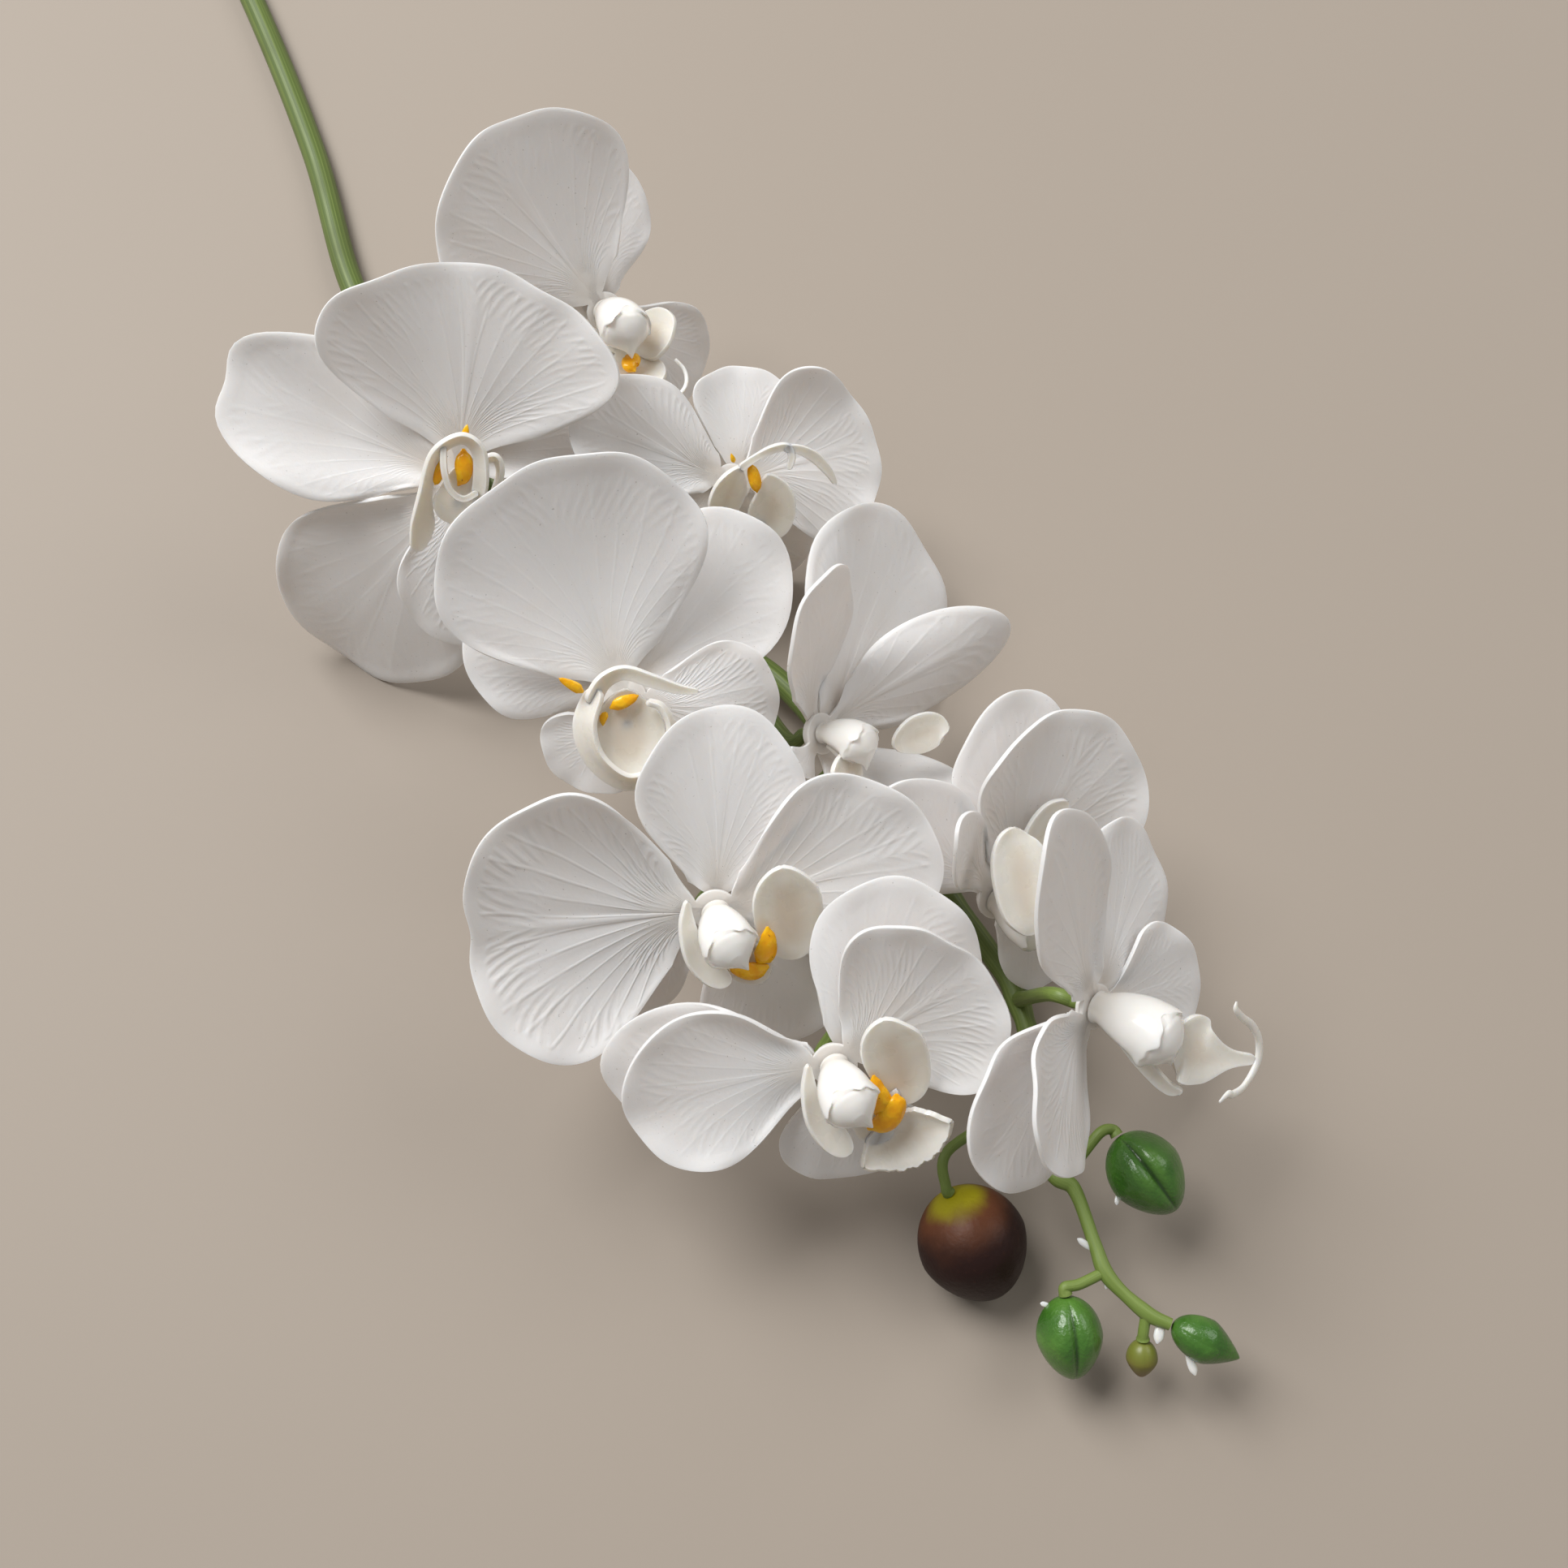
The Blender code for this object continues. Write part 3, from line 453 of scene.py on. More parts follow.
# Lips that show side lobes, scoops and curls, as bands in the bloom's own frame, with the stalk
# that carries them, their ribbons and the strands of their crest. Where one band is a scoop, its
# number is given, and SCOOP says how much it is hollowed and how ragged its edges are.
LIPS = {
    5: {
        "bands": [
            [(9.9, 0, 12, 2, 0), (12.9, 3.4, 15, 4.2, 0), (15.9, 5.9, 18, 3.6, 0), (17.8, 6.6, 20, 1, 0)],
            [(2.4, -3.2, 8, 1.4, 0), (1.8, -6.6, 8, 4, 0), (1.2, -10.5, 8, 4.6, 0), (1, -14, 8, 2, 0)],
        ],
        "stalk": [(1.2, -2, 2), (2.4, -4, 5), (3, -4.5, 8)],
        "crest": [[(0.4, -4, 8.6, 0.5), (3.5, -3.4, 9, 1.1), (6.8, -3, 8.8, 0.6)]],
    },
    6: {
        "bands": [
            [
                (-10.3, 18.4, 11, 3, 0),
                (-9.6, 15.6, 12, 5, 0),
                (-7.6, 11, 14, 6.4, 0),
                (-5.6, 6, 16, 6, 0),
                (-3.6, 2, 17.5, 4.6, 0),
                (-2.4, -0.8, 18, 2.4, 0),
            ],
            [(2, 14.8, 8, 0.8, 0), (2.8, 11.5, 8, 2.6, 0), (4, 7, 8, 2.2, 0), (4.6, 4, 7.6, 1, 0)],
            [(4.2, 24.8, 5, 1, 0), (2.2, 21, 5, 3.8, 0), (1.2, 16, 5, 4.4, 0), (1.5, 11, 5, 3, 0)],
        ],
        "stalk": [(2.4, 0, 2), (1, 5, 5), (-3, 9, 9), (-6.4, 11, 12.6)],
        "crest": [[(6, -1, 7.4, 0.7), (7.6, -1.4, 7.8, 1.3), (9.4, -1.6, 7.8, 0.7)]],
    },
    7: {
        "bands": [
            [
                (-6.4, 4.6, 6.6, 0.5, -20),
                (-6, -0.5, 7, 1.7, -25),
                (-3.8, -6.4, 7.4, 2.4, -25),
                (0, -10, 7.6, 2.6, -20),
                (3.6, -11.6, 7.8, 1.4, -10),
            ],
            [
                (15.6, -7.8, 4, 3.6, 0),
                (15, -4, 4.4, 5.4, 0),
                (14.2, 0, 5, 6.6, 0),
                (13, 5, 6, 6.8, 0),
                (11.8, 9.4, 7, 5.8, 0),
                (11, 13, 7.6, 4, 0),
            ],
            [(2.6, -2.6, 3, 2.4, 0), (5.4, -6, 4, 4.4, 0), (8, -9.5, 5, 4.6, 0), (10, -12.4, 6, 2.4, 0)],
        ],
        "stalk": [(1.6, -1.6, 1.6), (4, -4, 3.4), (8, -5, 4.2), (12, -4.6, 4.2)],
        "crest": [
            [(9.4, 0.6, 8, 0.6), (9.9, -2.4, 7.8, 1.3), (9.6, -5, 7.6, 1.8), (8.4, -7.2, 7.4, 1.6)],
            [(10.6, -7.8, 7.6, 0.8), (7.6, -9.2, 7.4, 1.5), (4.6, -8.8, 7.4, 1.2), (2.8, -8, 7.4, 0.5)],
        ],
    },
    8: {
        "bands": [
            [
                (-5.7, 3.4, 6.8, 0.5, -20),
                (-5.3, -1.8, 7, 1.6, -25),
                (-3.4, -7.5, 7.4, 2.5, -25),
                (0, -11.6, 7.6, 2.9, -20),
                (3.4, -14.6, 7.8, 1.6, -10),
            ],
            [
                (13.4, -5.8, 4.4, 3.4, 0),
                (13, -2, 4.8, 4.8, 0),
                (12, 2, 5.6, 5.8, 0),
                (10.2, 6.6, 6.8, 6.2, 0),
                (8.6, 10.4, 7.8, 5.4, 0),
                (7.6, 13.8, 8.4, 3.8, 0),
            ],
            [
                (6, -18.2, 7, 0.9, -12),
                (9.3, -15.6, 5.2, 4.2, -14),
                (13.4, -13.2, 4.6, 5.6, -14),
                (17.4, -10.4, 5.4, 5.2, -12),
                (20.4, -8.4, 7, 3, -8),
                (22, -7.2, 8.6, 0.6, 0),
            ],
            [(3, -3, 3, 2.4, 0), (6, -7, 4, 4, 0), (9, -11, 4.6, 4.2, 0), (11, -13, 4.8, 2.4, 0)],
        ],
        "scoop": 2,
        "stalk": [(1.6, -1.6, 1.6), (4, -4, 3.4), (8, -5, 4.4), (12, -2.6, 4.8)],
        "crest": [
            [(6.6, 2, 8, 0.6), (7.4, -0.8, 7.8, 1.2), (8.6, -3.6, 7.6, 1.6), (8, -6.6, 7.4, 1.7)],
            [(11.2, -1.8, 8, 0.8), (11.2, -4.6, 7.8, 1.7), (9.4, -7.8, 7.6, 2), (6.2, -9.6, 7.4, 0.8)],
        ],
    },
    9: {
        "bands": [
            [
                (-2.6, -3.4, 6, 0.5, 60),
                (1, -5, 8, 1.3, 60),
                (5.6, -7.6, 10, 1.7, 60),
                (9.8, -10.3, 12.5, 1.5, 55),
                (12.8, -11.3, 15, 1.5, 50),
            ],
            [
                (8, -3, 12.6, 2.6, 0),
                (11, -2.5, 14.5, 7.6, 0),
                (15, -3, 16.5, 5.4, 0),
                (20, -2, 19, 2, 0),
                (25, -0.6, 21.6, 0.9, 0),
            ],
        ],
        "ribbons": [
            [
                (11.9, 8.4, 22, 0.3),
                (12.4, 7, 22, 0.7),
                (15.5, 6, 22, 0.8),
                (20, 5.2, 22, 0.9),
                (23.9, 2.9, 22, 1),
                (25.4, -1.2, 22, 1),
                (22.8, -6.2, 22, 0.8),
                (19.4, -8.4, 22, 0.8),
                (17.4, -8.6, 22.2, 0.7),
                (15.4, -10.6, 22, 0.3),
            ],
        ],
        "stalk": [(2, -2, 2.4), (5, -4, 8), (8, -3.4, 12.2)],
        "crest": [[(3.5, -4.2, 8.4, 0.6), (6, -4.6, 9.4, 1.4), (8.8, -4.8, 10.4, 0.7)]],
    },
}
SCOOP = {"arch": 0.3, "ragged": 0.035}

# The main stem from its cut end to its tip: place and radius
STEM = [
    ((-215, 520, 3.1), 3.4),
    ((-186, 458, 3.1), 3.4),
    ((-157, 399, 3.1), 3.4),
    ((-132, 340, 3.1), 3.35),
    ((-115, 290, 4.0), 3.3),
    ((-92, 250, 6), 3.2),
    ((-60, 214, 8), 3.0),
    ((-26, 188, 9), 2.9),
    ((1, 169, 9), 2.8),
    ((26, 133, 8), 2.6),
    ((45, 106, 7), 2.4),
    ((51, 94, 8), 2.2),
    ((54, 75, 12), 1.9),
    ((54.4, 56.5, 17), 1.5),
    ((58.8, 51.9, 17.5), 1.4),
    ((62, 41.3, 18), 1.35),
    ((64.3, 34.8, 18), 1.3),
    ((71, 28.2, 18), 1.25),
    ((75.7, 25.9, 18), 1.2),
]

# Where each bloom's pedicel leaves the main stem
PEDICEL_ROOTS = {
    1: (-92, 250, 6),
    2: (-76, 231, 7),
    3: (-43, 200, 8.5),
    4: (-26, 188, 9),
    5: (-13, 179, 9),
    6: (26, 133, 8),
    7: (14, 151, 8.5),
    8: (36, 118, 7.5),
    9: (51, 94, 8),
}

# Buds: slot, the stalk's path from the main stem, the bud's centre, axis, length and width, how deep
# its grooves are, and how pointed its tip is
BUDS = {
    "bud_brown": {
        "slot": "bud_brown",
        "path": [(53, 84, 10), (44, 68, 15), (33, 59, 19)],
        "centre": (38.7, 42.2, 10.2),
        "axis": (0.42, -0.72, -0.55),
        "length": 24.5,
        "width": 22.5,
        "groove": 0.0,
        "point": 0.0,
    },
    "bud_green_1": {
        "slot": "bud_green",
        "path": [(56, 54, 17), (60, 58, 20), (64, 62.5, 22)],
        "centre": (73.2, 54.7, 20),
        "axis": (0.6, -0.8, -0.1),
        "length": 18,
        "width": 15,
        "groove": 1.0,
        "point": 0.1,
    },
    "bud_green_2": {
        "slot": "bud_green",
        "path": [(64, 36, 18), (58.5, 33.5, 18)],
        "centre": (56.5, 23.8, 14),
        "axis": (0.1, -0.9, -0.4),
        "length": 16.3,
        "width": 13,
        "groove": 0.9,
        "point": 0.1,
    },
    "bud_green_3": {
        "slot": "bud_green",
        "path": [],
        "centre": (82.6, 22.8, 17),
        "axis": (0.9, -0.42, -0.14),
        "length": 14.5,
        "width": 8.8,
        "groove": 0.15,
        "point": 0.85,
    },
    "bud_olive": {
        "slot": "bud_olive",
        "path": [(71.2, 28.1, 18)],
        "centre": (70.6, 19.9, 13),
        "axis": (0.0, -0.8, -0.6),
        "length": 8,
        "width": 6.2,
        "groove": 0.1,
        "point": 0.5,
    },
}

# A bud's stalk: radius, and how far behind the bud it is already straight
BUD_NECK = 1.1
BUD_RUN_IN = 1.5

# How much narrower a bud is in its front half, and the powers that draw out a pointed one's tip
BUD_TAPER = 0.35
POINT_POWERS = (0.8, 0.5)

# A green bud's three grooves: how deep each is beside the first, the way the first faces, the half
# width in radians, the depth as a share of the radius, and the power that keeps it up to both ends.
# A low bank lies on both sides of each: its distance and half width in radians, and its height.
GROOVE_SHARES = (1.0, 0.45, 0.45)
GROOVE_FACES = (0.05, -0.35, 1.0)
GROOVE_WIDTH = 0.12
GROOVE_DEPTH = 0.15
GROOVE_POWER = 0.35
BANK = (0.42, 0.3)
BANK_HEIGHT = 0.05

# How much thicker the stem is where a stalk leaves it, and over which distance. A stalk is thicker
# at its foot, or below its bud, over a share of its length.
NODE_SWELL = (0.24, 3.5)
PEDICEL_SWELL = (0.2, 0.08)
BUD_STALK_SWELL = (0.25, 0.15)

# Small clear nubs: what carries each, the place nearest to it, the way it points, length and radius
NUBS = [
    ("stem_and_stalks", (60.4, 40.6, 18), (-0.8, 0.5, 0.3), 2.8, 0.7),
    ("stem_and_stalks", (73.6, 24.4, 16.6), (-0.3, -1.0, -0.1), 3.2, 1.0),
    ("closed_bud_green_3", (78.6, 18.6, 15), (0.3, -1.0, -0.2), 3.4, 0.9),
    ("closed_bud_green_1", (67.2, 50.2, 17.4), (-0.2, -1.0, 0.0), 1.6, 0.5),
    ("closed_bud_green_2", (51.4, 30.4, 16), (-1.0, 0.2, 0.2), 1.4, 0.5),
    ("stem_and_stalks", (64.4, 34.0, 16.8), (-0.4, -0.9, 0.2), 1.4, 0.5),
]

# A nub's cross-sections: share of its length and of its radius
NUB_SECTIONS = ((-0.3, 0.7), (0.2, 1.0), (0.7, 0.9), (1.0, 0.2))
NUB_FLATNESS = 0.45

# The flower's centre, at size 1, in a frame with x away from the column along the lip's way. A lip
# with plain lobes has its place and rise, its lobes' reach and width, and its ribbons and claw.
COLUMN_PATH = [(0, 0, 0.75), (0.1, 0, 2.6), (0.7, 0, 5.5), (2.0, 0, 9.0), (3.6, 0, 12.0), (4.4, 0, 13.4)]
LIP_PLACE = (6.3, 0.0, 3.3)
LIP_RISE = 42.0
CREST_PATH = [(4.2, 0, 2.2, 0.7), (5.6, 0.6, 2.8, 1.3), (7.2, -0.4, 3.1, 1.3), (8.8, 0, 3.2, 0.6)]
MIDDLE_LOBE = 14
MIDDLE_WIDTH = 12
SIDE_LOBES = ((13, 10), (13, 10))
SIDE_ANGLE = 78
SIDE_RISE = 62
LIP_FAN = 60
LIP_FOLDS = 0.3
CIRRUS_ROOT = (0.9, 8.0)
CIRRUS_RADIUS = 0.75
CIRRUS_TAPER = 0.55
CIRRUS_FLATNESS = 0.7
CIRRUS_STEPS = 7
CIRRUS_TURN = 38.0
CIRRUS_RISE = 0.55
CIRRUS_CURL = (3.8, 3.4)
RIBBON_FLATNESS = 0.6
CLAW_FOOT = (3.4, 0.0, 2.0)
CLAW_END = (1.2, 0.0, 0.1)
CLAW_RADIUS = 1.1

# A column's cross-sections at size 1: place along it, half width, depth behind and in front
COLUMN_SECTIONS = [
    (0.00, 2.7, 2.4, 2.2),
    (0.08, 2.6, 2.4, 2.1),
    (0.28, 3.7, 3.5, 2.5),
    (0.50, 4.6, 4.4, 2.9),
    (0.68, 4.9, 4.7, 3.5),
    (0.77, 5.0, 4.7, 3.9),
    (0.795, 4.9, 4.6, 3.9),
]

# The cap that shows below the column's rim
CAP_SECTIONS = [
    (0.80, 4.55, 4.1, 3.7),
    (0.85, 4.2, 3.7, 3.6),
    (0.91, 3.4, 2.8, 3.5),
    (0.96, 2.3, 1.7, 3.2),
    (1.00, 1.1, 0.6, 2.8),
]

# The rim's place along the column, its softness, and its waves: height, count and shift
COLUMN_RIM = 0.795
RIM_REACH = 0.05
COLUMN_WAVES = ((0.6, 3.0, 0.5), (0.35, 5.0, 0.0), (0.2, 11.0, 0.0))

# The column's hollow, beak and wings: strength, place along it and half length, then the place
# round it and the half width there, in radians
HOLLOW = (0.55, 0.6, 0.12, 0.0, 0.5)
BEAK = (1.7, 1.0, 0.05, 0.0, 0.5)
WING = (0.5, 0.74, 0.1, 1.1, 0.3)

# A crest's strand: how much wider and how much thinner it is than its radius, the share of its width
# at its ends and how fast it widens from them, and the heights of its two kinds of humps
STRAND_SHAPE = (1.25, 0.7)
STRAND_END = (0.35, 4.0)
STRAND_HUMPS = (0.08, 0.03)

# Colours of small marks and shades, beside those in the settings, and how dark the faint patches of
# the floor are against its colour
PETAL_SPECK = (0.30, 0.27, 0.25)
CREST_LIGHT = (0.98, 0.54, 0.008)
CREST_SPECK = (0.35, 0.08, 0.01)
STEM_SHADE = (0.065, 0.075, 0.02)
OLIVE_BASE = (0.17, 0.19, 0.03)
OLIVE_TIP = (0.16, 0.09, 0.02)
FLOOR_SHADE = 0.95

# How often the stem's lines repeat round it and along it, and where along the spray, in metres, the
# stem turns to its young green
STEM_LINES = (26.0, 5.0, 1.0)
YOUNG_FROM = (0.17, 0.25)

# The stage in the table's frame, in metres: a light has its place and its size
FLOOR_SIZE = 14.0
KEY_LIGHT = ((-1.2, 1.15, 2.1), 1.5)
FILL_LIGHT = ((1.3, 0.8, 1.6), 1.2)
LIGHT_AIM = (0.0, 0.15, 0.03)
NEAREST_VIEW = 0.01
SKY_COLOUR = (1.0, 0.985, 0.965, 1.0)

# Width of the camera's frame in millimetres
SENSOR_WIDTH = 36.0


class OrchidBloomSettings(bpy.types.PropertyGroup):
    scale: bpy.props.FloatProperty(
        name="Bloom scale",
        description="Size of petals, sepals and lips against the numbers in the table",
        default=1.04,
        min=0.5,
        max=2.0,
    )
    sheet: bpy.props.FloatProperty(
        name="Sheet thickness",
        description="Thickness of a petal or sepal, in metres",
        default=SHEET_THICKNESS * MM,
        min=0.2 * MM,
        unit="LENGTH",
    )
    lip: bpy.props.FloatProperty(
        name="Lip thickness",
        description="Thickness of a lip, in metres",
        default=1.0 * MM,
        min=0.2 * MM,
        unit="LENGTH",
    )
    petal_colour: bpy.props.FloatVectorProperty(
        name="Petal", description="Petals and sepals", subtype="COLOR", default=(0.81, 0.785, 0.772)
    )
    # Painted shade with a cream tint: petals and sepals take this colour towards the hub; it also gives
    # random darker patches on petals, column and lip
    throat_tint_and_shade: bpy.props.FloatVectorProperty(
        name="Throat",
        description="Petals and sepals near the flower's centre",
        subtype="COLOR",
        default=(0.72, 0.67, 0.625),
    )
    # Painted highlight: the pale colour of the petals' cut edges, rolled rims and raised veins, and of
    # the lips' edges
    highlight_colour: bpy.props.FloatVectorProperty(
        name="Cut edge", description="Edges of petals", subtype="COLOR", default=(0.93, 0.92, 0.90)
    )
    column_colour: bpy.props.FloatVectorProperty(
        name="Column", description="The glossy column", subtype="COLOR", default=(0.90, 0.885, 0.85)
    )
    lip_colour: bpy.props.FloatVectorProperty(
        name="Lip", description="Side lobes and ribbons", subtype="COLOR", default=(0.80, 0.76, 0.69)
    )
    lip_deep: bpy.props.FloatVectorProperty(
        name="Lip middle",
        description="The lip away from its edges",
        subtype="COLOR",
        default=(0.70, 0.63, 0.54),
    )
    callus_colour: bpy.props.FloatVectorProperty(
        name="Crest", description="The crest on the lip", subtype="COLOR", default=(0.92, 0.40, 0.003)
    )


class OrchidStemSettings(bpy.types.PropertyGroup):
    pedicel: bpy.props.FloatProperty(
        name="Pedicel radius",
        description="Radius of the stalk of each bloom, in metres",
        default=1.5 * MM,
        min=0.5 * MM,
        unit="LENGTH",
    )
    stem_colour: bpy.props.FloatVectorProperty(
        name="Stem", description="The stem's main green", subtype="COLOR", default=(0.085, 0.13, 0.024)
    )
    young_colour: bpy.props.FloatVectorProperty(
        name="Young stem",
        description="The stem near its tip",
        subtype="COLOR",
        default=(0.21, 0.30, 0.06),
    )
    tip_colour: bpy.props.FloatVectorProperty(
        name="Stem light",
        description="The stem's lighter lines",
        subtype="COLOR",
        default=(0.17, 0.225, 0.055),
    )


class OrchidBudSettings(bpy.types.PropertyGroup):
    green: bpy.props.FloatVectorProperty(
        name="Green", description="Sides of a green bud", subtype="COLOR", default=(0.038, 0.125, 0.014)
    )
    green_light: bpy.props.FloatVectorProperty(
        name="Light green",
        description="Paler patches of a bud",
        subtype="COLOR",
        default=(0.085, 0.21, 0.028),
    )
    # Painted shade: the dark colour laid into a green bud's grooves, where shade falls in the crease.
    groove: bpy.props.FloatVectorProperty(
        name="Groove",
        description="Grooves of a green bud",
        subtype="COLOR",
        default=(0.004, 0.018, 0.003),
    )
    brown_base: bpy.props.FloatVectorProperty(
        name="Brown bud base",
        description="Base of the brown bud",
        subtype="COLOR",
        default=(0.42, 0.37, 0.01),
    )
    brown_middle: bpy.props.FloatVectorProperty(
        name="Brown bud middle",
        description="Middle of the brown bud",
        subtype="COLOR",
        default=(0.135, 0.045, 0.018),
    )
    brown_tip: bpy.props.FloatVectorProperty(
        name="Brown bud tip",
        description="Tip of the brown bud",
        subtype="COLOR",
        default=(0.02, 0.0065, 0.005),
    )


class OrchidStageSettings(bpy.types.PropertyGroup):
    camera_height: bpy.props.FloatProperty(
        name="Camera height",
        description="Height of the camera over the table, in metres",
        default=0.35,
        min=0.05,
        unit="LENGTH",
    )
    camera_dip: bpy.props.FloatProperty(
        name="Camera dip",
        description="How far the camera looks down from level",
        default=math.radians(67.0),
        subtype="ANGLE",
    )
    lens: bpy.props.FloatProperty(
        name="Lens", description="Focal length on a 36 mm frame, in millimetres", default=37.0, min=5.0
    )
    floor_colour: bpy.props.FloatVectorProperty(
        name="Floor", description="The pale floor", subtype="COLOR", default=(0.345, 0.293, 0.243)
    )
    key_power: bpy.props.FloatProperty(
        name="Key light", description="Power of the large soft light, in watts", default=80.0, min=0.0
    )
    fill_power: bpy.props.FloatProperty(
        name="Fill light",
        description="Power of the weaker light on the right, in watts",
        default=11.0,
        min=0.0,
    )
    sky: bpy.props.FloatProperty(
        name="Sky", description="Brightness of the plain surroundings", default=0.27, min=0.0
    )


def spray_matrix():
    """From the table's frame, in metres, to the part's frame."""
    turn = Matrix.Rotation(math.radians(SPRAY_TURN), 4, "Z")
    return turn @ Matrix.Translation(-Vector((*SPRAY_CENTRE, 0.0)) * MM)


SPRAY = spray_matrix()


def moved(points, matrix):
    """Points in millimetres to metres in the frame that the matrix leads to."""
    rows = np.array(matrix)
    return (points * MM) @ rows[:3, :3].T + rows[:3, 3]


def facing_matrix(centre, azimuth, elevation):
    """A bloom's frame: z along its facing, y as near to the table's y as it can be."""
    way = math.radians(azimuth)
    rise = math.radians(elevation)
    front = Vector((math.cos(way) * math.cos(rise), math.sin(way) * math.cos(rise), math.sin(rise)))
    up = Vector((0.0, 1.0, 0.0))
    up = (up - front * up.dot(front)).normalized()
    side = up.cross(front)
    turn = Matrix((side, up, front)).transposed().to_4x4()
    return Matrix.Translation(Vector(centre) * MM) @ turn


def smooth_path(knots, steps):
    """A round curve through the knots (Catmull-Rom), with this many steps to each stretch."""
    rows = [np.array(knot, float) for knot in knots]
    rows = [2 * rows[0] - rows[1]] + rows + [2 * rows[-1] - rows[-2]]
    path = []
    for a, b, c, d in zip(rows, rows[1:], rows[2:], rows[3:]):
        for t in np.arange(steps) / steps:
            curve = 2 * b + (c - a) * t
            curve = curve + (2 * a - 5 * b + 4 * c - d) * t**2
            curve = curve + (3 * b - a - 3 * c + d) * t**3
            path.append(0.5 * curve)
    path.append(rows[-2])
    return np.array(path)


def spine(form, hub):
    """Distance, way out and rise of a lobe's midline, and its slope, at even steps."""
    run = np.linspace(0.0, form["length"], SPINE_STEPS)
    part = run / (form["length"] - hub)
    slope = np.radians(form["tilt"] * (1.0 - np.exp(-run / SETTLE)) + form["bend"] * part)
    step = run[1] - run[0]
    mid = (slope[1:] + slope[:-1]) / 2.0
    out = np.concatenate([[0.0], np.cumsum(np.cos(mid)) * step])
    rise = np.concatenate([[0.0], np.cumsum(np.sin(mid)) * step])
    return run, out, rise, slope


def smoothstep(value, start, end):
    """0 at the start and 1 at the end, with a soft change between."""
    share = np.clip((value - start) / (end - start), 0.0, 1.0)
    return share**2 * (3.0 - 2.0 * share)


def hill(value, width, centre=0.0):
    """1 at the centre and almost 0 from two widths away, with a soft change between."""
    return np.exp(-(((value - centre) / width) ** 2))


def midrib_height(along, ray):
    """Height of a lobe's midrib in millimetres: a ridge in a shallow trough."""
    ridge, trough = (hill(ray, width) for width in MIDRIB_WIDTHS)
    reach = np.sin(math.pi * np.minimum(along, 1.0) ** MIDRIB_RISE)
    return MIDRIB_HEIGHT * (ridge - MIDRIB_TROUGH * trough) * reach


def vein_height(along, ray, edge, phase):
    """Height of a lobe's raised veins in millimetres, weaker here and there."""
    within = np.clip((edge - VEIN_END[0]) / VEIN_END[1], 0.0, 1.0)
    vein = 0.5 + 0.5 * np.cos(2.0 * math.pi * (np.abs(ray) - VEIN_LEAN * along) / VEIN_SPACING)
    veins = VEIN_HEIGHT * vein**2 * np.sin(math.pi * np.minimum(along, 1.0)) ** 0.5 * within
    least, change, pace = VEIN_CHANGE
    return veins * (least + change * np.sin(pace * ray + phase)) * np.minimum(along / VEIN_START, 1.0)


def rim_height(along, edge):
    """Height of a lobe's rolled rim in millimetres, down again at the very edge."""
    rim = RIM_HEIGHT * (1.0 - smoothstep(edge, *RIM_FADE)) - RIM_HEIGHT * hill(edge, 1.0)
    return rim * np.minimum(along / RIM_START, 1.0)


def relief(form, along, ray, edge):
    """Height of a lobe's fine forms in millimetres: waves, folds, midrib, veins and rolled rim.

    edge is the distance from the margin in millimetres.
    """
    phase = math.radians(form["angle"] * WAVE_SHIFT)
    angle = np.radians(ray)
    size = form["length"] / RELIEF_LENGTH
    folds = FOLD_HEIGHT * np.sin(math.pi * along) * np.sin(FOLD_COUNT * angle - phase)
    for k, (height, growth, count) in enumerate(WAVES, 1):
        folds = folds + height * along**growth * np.sin(count * angle + k * phase)
    fine = size * midrib_height(along, ray) + vein_height(along, ray, edge, phase)
    return size * (form["folds"] * folds + rim_height(along, edge)) + form["relief"] * fine


def lobe_reach(form, hub, ray):
    """How far a lobe reaches from the hub's rim along a ray, in millimetres."""
    angle = np.radians(ray)
    ratio = ((form["length"] - hub) / form["width"]) ** 2
    reach = (form["length"] - hub) * np.cos(angle)
    reach = reach / (np.cos(angle) ** 2 + ratio * np.sin(angle) ** 2)
    phase = math.radians(form["angle"] * MARGIN_SHIFT)
    uneven = sum(
        share * np.sin(count * angle + k * phase) for k, (share, count) in enumerate(MARGIN_WAVES, 1)
    )
    return reach * (1.0 + uneven - form["notch"] * hill(ray, NOTCH_ANGLE))


def edge_distance(form, hub, along, ray):
    """Roughly how far a point of a lobe is from its margin, in millimetres."""
    reach = lobe_reach(form, hub, ray)
    side = (along * reach + hub) * np.sin(np.radians(form["fan"] - np.abs(ray)))
    return np.minimum((1.0 - along) * reach, side)


